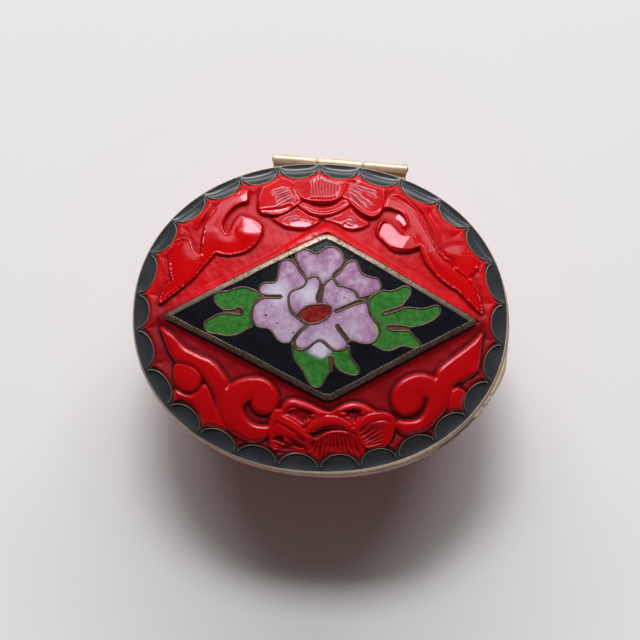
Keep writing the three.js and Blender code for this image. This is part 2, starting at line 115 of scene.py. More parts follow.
OUTLINES = {
    "ul_scroll": ("face", "-23.74,0.58 -22.49,1.58 -20.85,2.89 -19.22,4.35 -17.79,6.11 -16.90,7.20 -16.19,8.09 -15.80,8.53 -15.25,8.30 -14.11,8.11 -12.79,8.27 -11.49,8.68 -10.39,9.45 -9.60,10.57 -9.18,11.68 -9.26,12.58 -9.73,13.18 -10.61,13.67 -11.67,14.02 -12.35,14.15 -12.80,13.84 -13.32,12.92 -13.65,11.90 -14.00,11.30 -14.57,11.39 -14.99,11.99 -15.10,12.90 -14.72,14.02 -14.02,15.05 -13.21,15.88 -12.37,16.31 -11.62,16.48 -11.47,17.36 -11.72,18.35 -12.76,18.13 -13.87,17.53 -14.98,16.73 -15.88,15.86 -16.78,14.83 -17.36,13.40 -17.68,11.77 -17.83,9.97 -17.87,8.38 -17.85,7.19 -18.09,6.41 -19.24,4.74 -20.87,3.28 -22.51,1.93"),
    "ul_leaf": ("face", "-22.41,9.68 -21.68,10.27 -20.73,10.57 -19.95,10.37 -19.52,9.47 -19.08,8.57 -18.19,8.08 -17.83,7.78 -18.09,6.41 -19.24,4.74 -20.87,3.28 -22.51,1.93 -23.74,0.58 -23.64,1.54 -23.22,2.60 -22.60,3.47 -21.96,3.86 -22.26,4.84 -22.53,6.01 -22.69,7.39 -22.69,8.68"),
    "bl_cup": ("face", "-0.76,22.34 -0.10,21.59 0.73,21.00 2.01,20.74 2.89,20.71 3.19,20.41 3.24,19.70 3.03,18.99 2.66,18.10 2.13,17.46 1.35,16.91 0.41,16.73 -0.54,16.67 -1.50,16.71 -2.29,16.78 -3.10,17.08 -3.76,17.58 -4.26,18.26 -4.65,19.03 -4.76,19.73 -4.59,20.18 -3.87,20.21 -3.08,20.41 -2.31,20.97 -1.54,21.62"),
    "bl_cresc": ("face", "-3.93,16.19 -3.56,16.63 -2.43,16.36 -1.47,15.98 -0.51,15.88 0.59,16.03 1.69,16.46 2.61,17.26 3.25,17.12 3.71,16.55 3.13,15.92 2.20,15.28 1.11,14.75 0.02,14.50 -1.09,14.52 -2.05,14.79 -3.03,15.41"),
    "bl_left": ("face", "-6.84,21.41 -5.81,20.76 -5.15,20.25 -4.80,19.65 -4.70,19.03 -4.42,18.17 -3.91,17.40 -3.53,16.84 -3.79,16.42 -4.32,16.00 -5.09,15.46 -5.71,15.01 -6.48,14.65 -7.43,14.52 -8.54,14.60 -9.26,14.75 -9.65,15.17 -9.79,15.77 -9.82,17.15 -9.60,18.20 -9.24,19.00 -8.31,19.55 -7.56,20.45"),
    "bl_right": ("face", "3.19,20.23 4.10,20.28 5.70,20.27 6.34,20.08 7.31,19.71 8.60,19.43 8.80,18.78 8.87,17.56 8.75,16.52 8.37,15.63 7.84,14.92 7.13,14.67 6.33,14.88 5.37,15.43 4.55,16.08 3.90,16.73 3.40,17.35 2.67,17.66 2.97,18.46 3.22,19.44"),
    "bl_top": ("face", "3.29,20.59 4.07,21.30 4.85,21.83 5.33,21.91 5.84,20.99 6.18,20.30 4.74,20.43"),
    "bl_lensL": ("face", "-7.55,13.91 -7.01,14.04 -5.85,14.62 -4.92,15.24 -3.92,15.88 -3.02,15.24 -2.04,14.59 -1.16,14.32 -0.79,13.96 -0.77,13.62 -1.51,13.01 -2.28,12.58 -3.22,12.43 -4.48,12.50 -5.60,12.74 -6.57,13.25"),
    "bl_lensR": ("face", "0.03,14.06 0.97,14.37 2.21,14.92 2.99,15.48 3.68,16.21 4.25,15.58 4.91,14.93 5.72,14.29 6.60,13.74 6.07,13.17 5.13,12.78 4.03,12.66 2.92,12.93 2.43,13.28 1.15,13.73"),
    "ur_scroll": ("face", "9.06,16.29 9.19,17.33 9.51,18.14 10.11,18.57 11.07,18.45 12.23,17.63 13.40,16.57 14.18,15.60 14.97,14.22 15.57,12.85 16.17,11.48 16.95,10.24 17.54,9.39 18.89,8.50 19.87,7.39 21.80,5.98 22.79,4.50 23.50,2.62 23.82,1.02 23.04,1.58 22.26,2.29 21.29,3.17 20.32,4.05 19.16,4.74 18.00,5.45 17.04,6.26 16.26,7.08 15.48,8.01 14.88,9.16 14.38,10.51 13.73,10.07 12.79,9.69 11.47,9.56 10.42,9.80 9.32,10.75 8.19,11.80 7.95,12.51 8.15,13.37 8.70,14.22 9.65,13.83 10.58,13.07 11.30,12.25 11.88,12.19 12.43,12.83 12.55,13.54 12.33,14.55 11.90,15.34 11.12,15.90 10.16,16.25 9.40,16.35"),
    "ur_leaf": ("face", "17.82,9.81 18.38,10.55 19.23,10.95 20.19,11.09 21.05,10.86 21.74,10.12 22.42,9.28 22.95,8.63 22.89,7.64 22.46,6.91 22.03,6.29 22.78,5.08 23.50,2.62 21.80,5.98 19.87,7.39 18.89,8.50 18.12,8.84"),
    "ll_scroll": ("face", "-23.38,-3.07 -22.20,-3.69 -21.31,-4.39 -20.50,-5.33 -19.42,-6.20 -18.26,-6.75 -17.10,-7.26 -15.95,-7.71 -14.98,-8.38 -14.19,-9.26 -13.50,-10.17 -13.03,-10.99 -13.15,-11.73 -12.43,-11.16 -11.52,-10.62 -10.60,-10.32 -9.49,-10.17 -8.18,-10.22 -7.14,-10.74 -6.26,-11.64 -5.72,-12.63 -5.63,-13.45 -5.88,-14.37 -6.50,-15.08 -7.32,-15.36 -8.31,-15.27 -9.02,-14.83 -9.41,-14.26 -9.57,-13.57 -10.18,-13.76 -10.62,-14.23 -10.75,-14.88 -10.37,-15.78 -9.60,-16.63 -8.65,-17.04 -7.53,-17.15 -6.69,-17.22 -6.75,-18.04 -7.28,-18.78 -8.38,-19.27 -9.31,-19.35 -10.25,-19.05 -11.58,-18.36 -12.73,-17.48 -13.72,-16.23 -14.33,-14.96 -14.56,-13.87 -14.98,-12.78 -15.59,-11.68 -16.39,-10.59 -17.18,-9.68 -17.96,-8.98 -19.12,-8.49 -20.08,-8.26 -20.85,-8.01 -21.45,-7.30 -22.07,-6.18 -22.61,-5.06 -23.05,-3.96"),
    "ll_bud": ("face", "-20.86,-8.51 -20.08,-8.26 -19.12,-8.49 -18.06,-9.04 -17.30,-9.86 -17.09,-10.79 -17.47,-11.72 -18.19,-12.32 -18.94,-12.40 -19.90,-12.08 -20.56,-11.39 -20.93,-10.28 -21.01,-9.26"),
    "ll_tongue": ("face", "-16.63,-11.48 -16.05,-11.88 -15.33,-13.33 -14.61,-14.97 -13.81,-16.23 -12.83,-17.48 -13.28,-17.71 -14.78,-17.62 -15.91,-17.55 -16.69,-16.84 -17.12,-15.38 -17.92,-14.21 -19.09,-13.49 -20.04,-13.23 -20.88,-13.61 -21.02,-12.50 -20.45,-12.40 -18.92,-13.03 -17.62,-12.55"),
    "lr_scroll": ("face", "23.89,-2.16 22.77,-3.29 21.29,-4.62 19.81,-5.85 18.53,-6.97 17.53,-8.05 17.19,-9.10 16.62,-8.95 15.86,-8.71 14.83,-8.65 13.71,-8.93 12.61,-9.51 11.71,-10.34 11.10,-11.33 10.91,-12.40 11.08,-13.40 11.67,-14.23 12.52,-14.64 13.46,-14.65 14.38,-14.29 15.04,-13.64 15.39,-12.86 15.47,-12.12 15.98,-12.09 16.21,-12.66 16.09,-13.59 15.51,-14.68 14.79,-15.27 13.86,-15.54 12.84,-15.63 12.00,-15.60 11.85,-16.55 12.44,-17.25 13.28,-17.39 14.77,-17.13 16.05,-16.51 17.14,-15.54 18.21,-14.20 19.01,-12.86 19.43,-11.55 19.68,-10.42 20.31,-9.64 20.96,-9.41 21.80,-8.80 22.72,-8.18 23.28,-7.58 23.52,-6.25 23.67,-4.73 23.82,-3.21"),
    "lr_chip": ("face", "19.96,-10.40 20.91,-10.53 21.91,-11.20 22.10,-12.11 21.38,-13.27 20.46,-13.88 19.47,-13.57 19.24,-12.48 19.58,-11.35"),
    "fl_backL": ("face", "-5.09,-15.48 -5.03,-14.61 -4.62,-13.79 -4.03,-13.27 -3.28,-13.15 -2.53,-13.32 -1.57,-13.58 -0.61,-13.95 0.36,-14.39 1.32,-14.78 2.12,-14.97 1.48,-15.41 0.54,-15.64 -0.26,-15.96 -1.05,-16.39 -1.78,-16.85 -2.47,-16.61 -3.37,-16.07 -4.27,-15.70"),
    "fl_backR": ("face", "2.17,-14.91 2.80,-14.45 3.46,-13.96 4.26,-13.56 5.20,-13.31 6.15,-13.35 6.97,-13.60 7.67,-13.97 8.36,-14.34 8.98,-14.60 8.11,-14.82 7.30,-15.08 6.64,-15.59 6.12,-16.15 5.73,-16.62 5.18,-16.27 4.61,-15.76 3.93,-15.50 3.24,-15.39 2.69,-15.22"),
    "fl_crest": ("face", "-1.68,-17.66 -1.30,-17.14 -0.65,-16.45 0.14,-15.82 0.94,-15.46 1.89,-15.34 2.84,-15.44 3.66,-15.68 4.49,-16.11 5.19,-16.62 5.59,-17.24 5.22,-17.39 4.40,-17.14 3.58,-16.98 2.49,-16.91 1.41,-17.00 0.60,-17.23 -0.19,-17.59 -0.93,-17.79"),
    "fl_skirt": ("face", "-0.83,-20.44 -0.93,-19.65 -0.75,-18.98 -0.15,-18.69 0.39,-18.60 1.05,-18.11 1.84,-17.68 2.51,-17.50 3.46,-17.42 4.41,-17.51 5.16,-17.65 5.79,-18.12 6.36,-18.82 6.87,-19.60 7.12,-20.11 6.99,-20.78 6.62,-21.92 5.93,-21.49 5.09,-20.86 3.99,-20.62 2.91,-20.73 1.85,-21.23 1.20,-22.05 0.67,-22.30 0.10,-21.59 -0.33,-20.95"),
    "fl_left": ("face", "-6.69,-17.92 -6.76,-16.93 -6.63,-15.99 -6.32,-15.32 -5.80,-14.83 -5.32,-14.75 -5.17,-15.35 -4.74,-15.73 -3.92,-16.06 -2.94,-16.64 -2.11,-17.17 -1.55,-17.71 -0.85,-18.25 -0.22,-18.80 -0.75,-18.98 -0.93,-19.65 -0.83,-20.44 -1.70,-20.60 -2.93,-20.38 -4.29,-20.30 -5.65,-20.34 -6.34,-19.97 -6.58,-19.05"),
    "fl_right": ("face", "5.59,-17.13 6.00,-16.45 6.65,-15.69 7.30,-15.12 8.11,-14.78 9.05,-14.57 10.14,-14.59 10.97,-14.95 11.43,-15.53 11.52,-16.19 11.29,-17.13 11.05,-17.94 10.70,-18.62 10.05,-19.21 9.10,-19.30 8.29,-19.43 7.48,-19.50 6.92,-19.06 6.49,-18.55 6.06,-17.91"),
    "h_backL": ("hollow", "-4.87,-15.43 -4.44,-14.84 -3.44,-14.51 -2.22,-14.40 -0.86,-14.58 0.24,-14.87 1.13,-15.10 0.27,-15.51 -0.54,-15.84 -1.33,-16.33 -1.86,-16.72 -2.48,-16.48 -3.31,-15.95 -4.14,-15.55"),
    "h_backR": ("hollow", "2.95,-14.83 3.88,-14.26 4.96,-13.95 6.18,-14.02 7.14,-14.25 7.77,-14.57 7.17,-14.89 6.51,-15.39 5.98,-15.94 5.69,-16.40 5.18,-16.10 4.61,-15.59 3.79,-15.33"),
    "h_left1": ("hollow", "-6.32,-19.00 -6.13,-18.66 -5.67,-18.34 -5.12,-18.30 -4.64,-18.48 -4.49,-18.94 -4.58,-19.48 -4.94,-19.51 -5.49,-19.31 -5.91,-19.15"),
    "h_left2": ("hollow", "-6.19,-20.59 -5.27,-19.76 -4.20,-19.46 -3.39,-19.17 -2.30,-19.40 -1.19,-19.89 -0.75,-20.66 -0.85,-21.59 -1.93,-21.77 -3.16,-21.68 -4.53,-21.33 -5.77,-21.11"),
    "h_right": ("hollow", "6.20,-17.86 6.84,-16.90 7.63,-16.20 8.70,-15.89 9.80,-16.10 10.23,-16.61 10.12,-17.42 9.74,-18.10 9.09,-18.79 8.01,-19.11 7.20,-19.15 6.63,-18.51"),
    "h_cup": ("hollow", "-2.35,20.08 -1.66,20.82 -0.73,21.39 0.25,20.90 1.54,20.51 2.51,20.29 2.77,19.59 2.41,18.52 1.88,17.71 1.18,17.21 -0.56,17.07 -2.23,17.14 -2.50,17.97 -2.63,19.19"),
    "g_ur": ("groove", "17.81,10.00 18.21,9.14 18.98,8.90 19.37,8.34 19.63,7.67"),
    "g_ur2": ("groove", "22.97,7.45 22.55,6.92 21.80,6.17"),
    "g_lr": ("groove", "19.87,-10.60 20.32,-9.83 20.78,-9.42 21.18,-10.32 21.96,-10.92"),
    "g_top": ("groove", "3.30,20.41 4.26,20.34"),
    "A": ("cell", "-2.01,4.65 -2.88,5.82 -3.61,6.94 -3.92,7.79 -3.82,8.52 -3.15,8.97 -2.47,9.07 -1.77,8.85 -0.91,8.52 -0.39,8.79 0.27,9.36 1.09,9.64 1.92,9.49 2.62,9.06 3.06,8.36 3.12,7.35 2.64,6.47 1.85,5.72 1.42,4.99 0.74,4.40 0.14,3.81 -0.19,4.36 -0.65,4.91 -1.34,5.03"),
    "BC": ("cell", "-2.28,4.49 -3.15,5.60 -3.88,6.72 -4.59,7.31 -5.28,7.43 -5.96,7.16 -6.31,6.43 -6.40,5.43 -6.52,4.43 -7.04,3.88 -8.14,3.82 -8.81,3.52 -9.08,2.81 -8.77,1.98 -8.31,1.60 -9.11,1.13 -9.73,0.28 -9.91,-0.98 -9.68,-2.08 -9.10,-2.76 -8.24,-2.94 -7.42,-3.06 -6.71,-3.80 -6.13,-4.60 -5.29,-5.02 -4.21,-4.91 -3.70,-4.12 -2.92,-3.13 -2.07,-2.27 -2.78,-1.68 -3.41,-1.21 -4.26,-0.41 -4.65,0.69 -4.73,1.67 -4.51,2.37 -3.86,2.96 -2.91,3.27 -2.45,3.71"),
    "D": ("cell", "-3.43,-0.80 -4.28,0.01 -4.62,0.97 -4.66,1.95 -4.38,2.52 -3.72,2.96 -2.91,3.24 -2.38,3.71 -2.14,4.43 -1.61,4.84 -0.93,4.94 -0.40,4.71 -0.18,3.94 -0.33,2.94 -0.60,2.09 -0.57,1.39 -0.29,0.82 -1.30,0.69 -2.24,0.28 -3.03,-0.51"),
    "E": ("cell", "1.88,4.94 2.60,5.75 3.18,6.71 3.78,7.38 4.52,7.70 5.08,7.44 5.45,6.60 5.96,5.70 7.14,5.26 8.18,5.06 8.68,4.35 8.70,3.65 7.77,2.89 6.55,2.34 5.60,2.15 5.17,2.90 4.33,3.35 3.22,3.68 2.32,4.11"),
    "FGH": ("cell", "1.27,4.70 1.89,4.52 2.40,3.76 3.23,3.63 4.33,3.31 5.03,2.87 5.33,2.21 6.03,1.68 6.58,1.57 7.01,0.89 7.26,-0.35 7.97,-1.28 8.59,-2.08 8.72,-3.04 8.30,-4.02 7.34,-4.64 5.98,-4.68 4.74,-4.33 4.28,-4.62 3.89,-5.26 3.23,-5.70 2.49,-5.82 1.66,-5.42 0.95,-4.77 0.12,-4.39 -0.68,-4.83 -1.60,-5.55 -2.40,-5.81 -3.16,-5.60 -3.55,-4.93 -3.29,-4.17 -2.51,-3.11 -1.73,-2.40 -1.19,-2.10 -0.11,-1.85 0.95,-1.19 1.49,-0.48 1.57,0.36 0.87,0.82 0.25,0.94 0.15,1.98 0.28,2.83 0.42,3.68"),
    "R": ("cell", "-3.03,-0.58 -2.24,0.28 -1.30,0.69 -0.22,0.82 1.01,0.83 1.57,0.33 1.49,-0.48 0.95,-1.19 -0.11,-1.88 -1.19,-2.13 -2.15,-1.89 -2.75,-1.33"),
    "I": ("nowire", "-1.91,-6.17 -1.33,-5.54 -0.67,-4.90 0.12,-4.46 0.89,-4.84 1.52,-5.49 1.55,-6.17 1.04,-6.94 0.50,-7.23 -0.46,-6.86 -1.29,-6.46"),
    "slit1": ("slit", "-8.76,1.91 -7.63,1.73 -5.86,1.77"),
    "slit2": ("slit", "6.51,1.64 5.36,1.37 4.15,0.82 3.07,0.29 2.27,-0.05"),
    "slit3": ("slit", "2.48,-2.16 2.92,-2.76 3.49,-3.50 4.27,-4.42"),
    "LL1": ("leaf", "-9.55,2.53 -10.18,2.77 -10.81,2.96 -11.50,3.05 -12.18,2.93 -12.99,2.66 -13.81,2.38 -14.63,2.33 -15.31,2.13 -15.62,1.76 -15.59,1.06 -15.22,0.43 -14.65,-0.05 -14.08,-0.33 -13.39,-0.38 -12.57,-0.26 -11.97,-0.01 -11.48,-0.10 -11.23,-0.48 -11.31,-0.90 -11.71,-1.06 -12.40,-1.02 -13.44,-0.88 -14.33,-0.96 -14.94,-1.11 -15.61,-1.45 -16.28,-1.89 -16.81,-2.27 -16.88,-2.79 -16.55,-3.48 -15.84,-3.88 -15.01,-3.95 -13.97,-4.17 -12.94,-4.19 -11.92,-3.97 -11.12,-3.52 -10.39,-3.09 -9.82,-2.80 -9.95,-2.12 -10.13,-1.29 -10.03,-0.32 -9.86,0.38 -9.48,1.09 -8.89,1.59"),
    "LR1": ("leaf", "6.97,1.92 7.78,2.58 8.59,3.14 9.17,3.32 10.01,3.25 10.83,3.45 11.49,3.82 12.15,4.13 12.74,4.10 13.08,3.68 13.10,3.08 12.70,2.29 12.22,1.66 11.90,1.22 10.75,0.72 9.27,0.22 9.11,-0.09 9.37,-0.28 10.77,0.18 12.08,0.80 12.99,0.97 13.91,0.90 14.92,0.92 15.75,1.12 16.58,1.46 17.25,1.48 17.60,0.97 17.45,0.30 16.88,-0.42 15.81,-1.08 14.82,-1.56 13.83,-1.81 13.16,-1.92 11.66,-1.75 10.08,-1.80 9.85,-2.15 10.11,-2.47 11.19,-2.58 12.76,-2.49 13.27,-2.62 13.70,-3.14 14.22,-3.63 14.65,-4.09 14.76,-4.50 14.42,-4.93 13.76,-4.99 12.92,-4.86 12.09,-4.78 11.35,-5.11 10.62,-5.49 9.80,-5.59 8.88,-5.35 8.12,-4.95 7.71,-4.72 8.41,-3.86 8.76,-3.00 8.77,-2.17 8.41,-1.43 7.72,-0.71 7.29,0.03 7.09,1.03"),
    "LB1": ("leaf", "-3.94,-5.07 -3.82,-6.16 -3.62,-7.16 -3.04,-7.99 -2.39,-8.82 -1.89,-9.65 -1.47,-10.41 -0.98,-11.02 -0.35,-11.34 0.11,-11.32 0.64,-10.96 1.00,-10.17 1.43,-9.46 1.71,-8.90 1.68,-8.13 1.57,-7.36 1.57,-6.88 1.83,-6.73 2.09,-6.85 2.17,-7.33 2.39,-8.02 2.95,-8.63 3.59,-8.99 4.37,-9.26 5.15,-9.38 5.77,-9.22 6.00,-8.71 5.72,-8.03 5.16,-7.44 4.67,-6.76 4.44,-5.99 4.30,-5.14 3.77,-5.63 2.85,-5.91 2.07,-5.86 1.44,-5.50 0.79,-4.90 0.16,-4.53 -0.46,-4.71 -1.21,-5.37 -1.96,-5.90 -2.73,-6.04 -3.45,-5.76"),
    "ls1": ("slitb", "-14.08,-0.39 -13.25,-0.52 -12.42,-0.54 -11.81,-0.53"),
    "ls2": ("slitb", "11.95,1.05 10.76,0.54 9.44,0.02"),
    "ls3": ("slitb", "13.00,-2.14 11.67,-2.09 10.18,-2.13"),
    "ls4": ("slitb", "1.91,-8.74 1.85,-7.89 1.82,-6.96"),
    "cut1": ("cut", "-7.90,17.63 -5.41,18.89"),
    "cut2": ("cut", "-7.49,17.38 -5.15,18.44"),
    "cut3": ("cut", "-7.39,16.98 -4.98,18.15"),
    "cut4": ("cut", "-7.21,16.40 -4.73,17.86"),
    "cut5": ("cut", "-6.71,16.01 -4.36,17.52"),
    "cut6": ("cut", "-7.62,15.08 -6.98,15.75 -6.17,16.42"),
    "cut7": ("cut", "-5.93,16.38 -4.22,17.18"),
    "cut8": ("cut", "-8.09,18.15 -6.05,18.94"),
    "cut9": ("cut", "3.65,19.64 5.59,18.65"),
    "cut10": ("cut", "3.51,19.10 5.37,18.06"),
    "cut11": ("cut", "3.44,18.57 5.15,17.35"),
    "cut12": ("cut", "4.12,19.80 6.22,19.07"),
    "cut13": ("cut", "3.70,18.06 5.66,16.25"),
    "cut14": ("cut", "4.18,17.82 6.30,16.11"),
    "cut15": ("cut", "4.81,18.12 7.09,16.59"),
    "cut16": ("cut", "6.07,18.71 7.85,17.90"),
    "cut17": ("cut", "5.58,19.21 7.66,18.80"),
    "cut18": ("cut", "-6.13,13.72 -5.03,14.09 -3.63,14.48"),
    "cut19": ("cut", "-5.01,13.50 -3.60,14.00"),
    "cut20": ("cut", "3.81,14.78 4.62,14.14"),
    "cut21": ("cut", "3.36,14.08 4.32,13.70"),
    "cut22": ("cut", "4.33,13.45 4.54,14.14"),
    "cut23": ("cut", "-4.37,-18.54 -2.84,-19.42 -1.18,-20.15"),
    "cut24": ("cut", "-5.31,-18.70 -4.33,-19.47 -3.22,-20.09"),
    "cut25": ("cut", "-3.15,-18.36 -1.77,-18.98 -0.53,-19.46"),
    "cut26": ("cut", "-3.66,-19.18 -2.01,-19.92"),
    "cut27": ("cut", "-5.97,-19.26 -4.72,-20.01"),
    "cut28": ("cut", "6.32,-17.62 7.37,-16.51"),
    "cut29": ("cut", "6.61,-18.11 8.46,-16.70"),
    "cut30": ("cut", "6.91,-18.63 9.29,-16.92"),
    "cut31": ("cut", "7.19,-18.88 9.85,-17.43"),
    "cut32": ("cut", "7.47,-19.07 10.14,-17.95"),
    "cut33": ("cut", "7.61,-19.33 9.76,-18.63"),
    "ridge34": ("ridge", "-23.49,8.66 -23.59,7.27 -23.39,5.89 -22.75,4.81"),
    "ridge35": ("ridge", "-10.38,18.09 -12.04,18.69 -13.34,18.04 -14.64,17.20 -15.74,16.36"),
    "ridge36": ("ridge", "-18.93,12.05 -18.26,13.68 -17.58,15.11"),
    "ridge37": ("ridge", "10.30,19.05 11.85,18.21 13.60,17.08 14.96,15.74 16.14,13.78 17.32,12.04"),
    "ridge38": ("ridge", "21.35,12.17 22.52,10.86 23.70,9.16"),
    "ridge39": ("ridge", "-22.23,-3.58 -20.63,-5.18 -18.87,-6.33 -17.13,-7.02 -15.21,-7.92"),
    "ridge40": ("ridge", "16.70,-8.15 18.17,-6.94 19.45,-5.54"),
    "ridge41": ("ridge", "23.62,-5.44 22.93,-7.74 21.85,-9.68"),
    "lip42": ("lip", "-2.41,17.06 -1.50,17.00 -0.11,17.00 1.14,17.16 1.82,17.49"),
    "lip44": ("lip", "3.64,17.27 4.50,16.33 5.50,15.48 6.49,15.01 7.60,15.07 8.55,15.95"),
    "lip45": ("lip", "-3.12,15.86 -2.26,15.28 -1.14,14.85 -0.02,14.77 1.35,15.13 2.57,15.79 3.52,16.58"),
    "crest48": ("crest", "-6.42,-17.55 -6.42,-16.66 -5.99,-16.00 -5.20,-15.87 -4.28,-16.14 -3.20,-16.80 -2.13,-17.47 -1.18,-18.21 -0.31,-18.88"),
    "crest49": ("crest", "-4.91,-14.93 -4.69,-13.96 -4.06,-13.42 -3.07,-13.43 -1.88,-13.73 -0.69,-14.21 0.51,-14.68 1.57,-14.98"),
    "crest50": ("crest", "2.74,-14.72 3.49,-14.04 4.53,-13.61 5.57,-13.50 6.75,-13.64 7.82,-13.98 8.62,-14.46"),
    "crest51": ("crest", "-1.49,-17.19 -0.60,-16.33 0.42,-15.84 1.59,-15.62 2.77,-15.65 3.96,-16.02 5.04,-16.74 5.51,-17.10"),
    "crest52": ("crest", "5.84,-17.03 6.46,-16.23 7.22,-15.55 8.26,-15.21 9.43,-15.13 10.49,-15.33 11.17,-15.81"),
    "cut53": ("cut", "-5.08,-19.11 -3.35,-19.65 -1.51,-19.94"),
    "cut54": ("cut", "-4.03,-19.01 -2.71,-19.48 -1.25,-19.83"),
    "cut55": ("cut", "-6.11,-19.59 -4.66,-19.83 -2.67,-20.50 -1.09,-20.59"),
    "cut56": ("cut", "-4.51,-18.52 -2.99,-18.97 -1.66,-19.50"),
    "cut57": ("cut", "-5.70,-20.09 -4.12,-20.29 -2.92,-20.76"),
    "cut58": ("cut", "-0.23,-17.53 0.74,-17.11 1.77,-16.85 2.95,-16.76 3.87,-16.92 4.67,-17.33"),
    "fa_urbulb": ("facet", "8.07,12.09 8.25,12.98 8.56,13.70 8.96,14.11 9.62,13.94 10.38,13.46 11.06,12.71 11.73,12.17 12.56,12.23 13.31,11.80 13.66,10.95 14.33,10.53 13.43,10.02 12.45,9.74 11.46,9.72 10.30,10.04 9.29,10.85 8.62,11.42"),
    "fa_lensL": ("facet", "-5.18,13.27 -4.62,13.64 -3.47,13.78 -2.31,13.63 -1.64,13.25 -2.27,12.66 -3.58,12.51 -4.82,12.61"),
    "fa_petL": ("facet", "-9.51,15.20 -8.17,15.39 -6.85,15.57 -5.71,15.96 -4.89,16.09 -5.19,15.40 -6.07,14.84 -7.30,14.56 -8.46,14.64 -9.33,14.83"),
    "fa_ulbulb": ("facet", "-12.31,12.40 -11.52,13.03 -10.36,13.00 -9.64,12.45 -9.44,11.75 -9.86,11.22 -10.74,10.85 -11.73,10.84 -12.35,11.53"),
    "fa_lensR": ("facet", "2.78,13.01 3.08,13.73 3.54,13.35 4.12,13.15 5.11,13.19 5.12,12.88 3.97,12.72 3.02,12.81"),
    "fa_curl": ("facet", "10.99,15.63 11.66,15.32 12.09,14.63 12.28,13.58 11.70,13.37 11.27,14.05 10.68,14.72"),
    "r_ulcurl": ("fine", "-11.70,16.47 -13.01,16.09 -13.97,15.26 -14.70,14.15 -15.07,13.08 -14.91,12.02 -14.06,11.12"),
    "r_urcurl": ("ridge", "10.15,16.18 11.15,15.96 11.96,15.25 12.38,14.38 12.49,13.51"),
    "b_ur": ("broad", "9.92,18.90 11.59,18.41 13.28,17.44 14.72,15.98 15.75,14.18 16.70,12.31 17.40,10.44"),
    "b_ul": ("broad", "-16.84,15.92 -17.76,14.49 -18.76,13.24 -18.94,12.01"),
    "l_pet": ("lip", "3.58,17.19 4.86,15.81 6.21,14.90 7.21,14.69 8.19,15.10 8.82,16.03"),
    "l_stem": ("lip", "14.55,10.49 14.94,9.22 15.63,7.89 16.48,6.76"),
}


def outline(name):
    return np.array([[float(v) for v in p.split(",")] for p in OUTLINES[name][1].split()])


def spline(P, closed=True, n=8):
    P = np.asarray(P, float)
    m = len(P)
    out = []
    for i in range(m if closed else m - 1):
        p0 = P[(i - 1) % m] if closed or i > 0 else P[0]
        p1, p2 = P[i], P[(i + 1) % m]
        p3 = P[(i + 2) % m] if closed or i + 2 < m else P[-1]
        for k in range(n):
            t = k / n
            out.append(0.5 * ((2 * p1) + (-p0 + p2) * t + (2 * p0 - 5 * p1 + 4 * p2 - p3) * t * t
                              + (-p0 + 3 * p1 - 3 * p2 + p3) * t ** 3))
    if not closed:
        out.append(P[-1])
    return np.array(out)


def sm(a, b, v):
    t = np.clip((v - a) / (b - a), 0, 1)
    return t * t * (3 - 2 * t)


def seg_dist(X, Y, P, closed):
    """Distance from points to a polyline, and the share along it of the nearest place."""
    Q = np.vstack([P, P[:1]]) if closed else P
    best = np.full(X.shape, 1e9)
    share = np.zeros(X.shape)
    m = len(Q) - 1
    for i in range(m):
        ax, ay = Q[i]
        dx, dy = Q[i + 1] - Q[i]
        L = dx * dx + dy * dy
        if L < 1e-12:
            continue
        f = np.clip(((X - ax) * dx + (Y - ay) * dy) / L, 0, 1)
        d = (X - ax - dx * f) ** 2 + (Y - ay - dy * f) ** 2
        w = d < best
        best = np.where(w, d, best)
        share = np.where(w, (i + f) / m, share)
    return np.sqrt(best), share


def inside(X, Y, P):
    c = np.zeros(X.shape, bool)
    j = len(P) - 1
    for i in range(len(P)):
        xi, yi = P[i]
        xj, yj = P[j]
        if yi != yj:
            c ^= ((yi > Y) != (yj > Y)) & (X < (xj - xi) * (Y - yi) / (yj - yi) + xi)
        j = i
    return c


def sdf(X, Y, P, margin=1.6):
    """Distance inside a closed outline, negative outside; far points get -margin."""
    out = np.full(X.shape, -margin)
    lo, hi = P.min(0) - margin, P.max(0) + margin
    near = (X > lo[0]) & (X < hi[0]) & (Y > lo[1]) & (Y < hi[1])
    if near.any():
        x, y = X[near], Y[near]
        d, _ = seg_dist(x, y, P, True)
        out[near] = np.where(inside(x, y, P), d, np.maximum(-d, -margin))
    return out


def line_dist(X, Y, P, margin=1.2):
    out = np.full(X.shape, margin)
    share = np.zeros(X.shape)
    lo, hi = P.min(0) - margin, P.max(0) + margin
    near = (X > lo[0]) & (X < hi[0]) & (Y > lo[1]) & (Y < hi[1])
    if near.any():
        d, s = seg_dist(X[near], Y[near], P, False)
        out[near] = np.minimum(d, margin)
        share[near] = s
    return out, share


def lattice(X, Y, size, seed):
    """Smooth random bumps in -1..1, about size across."""
    r = np.random.default_rng(seed)
    T = r.uniform(-1, 1, (64, 64))
    u, v = X / size, Y / size
    i, j = np.floor(u).astype(int), np.floor(v).astype(int)
    a, b = u - i, v - j
    a, b = a * a * (3 - 2 * a), b * b * (3 - 2 * b)
    g = lambda p, q: T[p % 64, q % 64]
    return (g(i, j) * (1 - a) + g(i + 1, j) * a) * (1 - b) + (g(i, j + 1) * (1 - a) + g(i + 1, j + 1) * a) * b


# ---- ovals --------------------------------------------------------------------
def sgnpow(v, p):
    return np.sign(v) * np.abs(v) ** p


def oval(a, b, t):
    return a * sgnpow(np.cos(t), 2 / POW), b * sgnpow(np.sin(t), 2 / POW)


def share_of(x, y):
    return (np.abs(x / LID_A) ** POW + np.abs(y / LID_B) ** POW) ** (1 / POW)


def dome(x, y):
    s = share_of(x, y)
    return EDGE_Z + 0.1 + RISE * (1 - s * s)


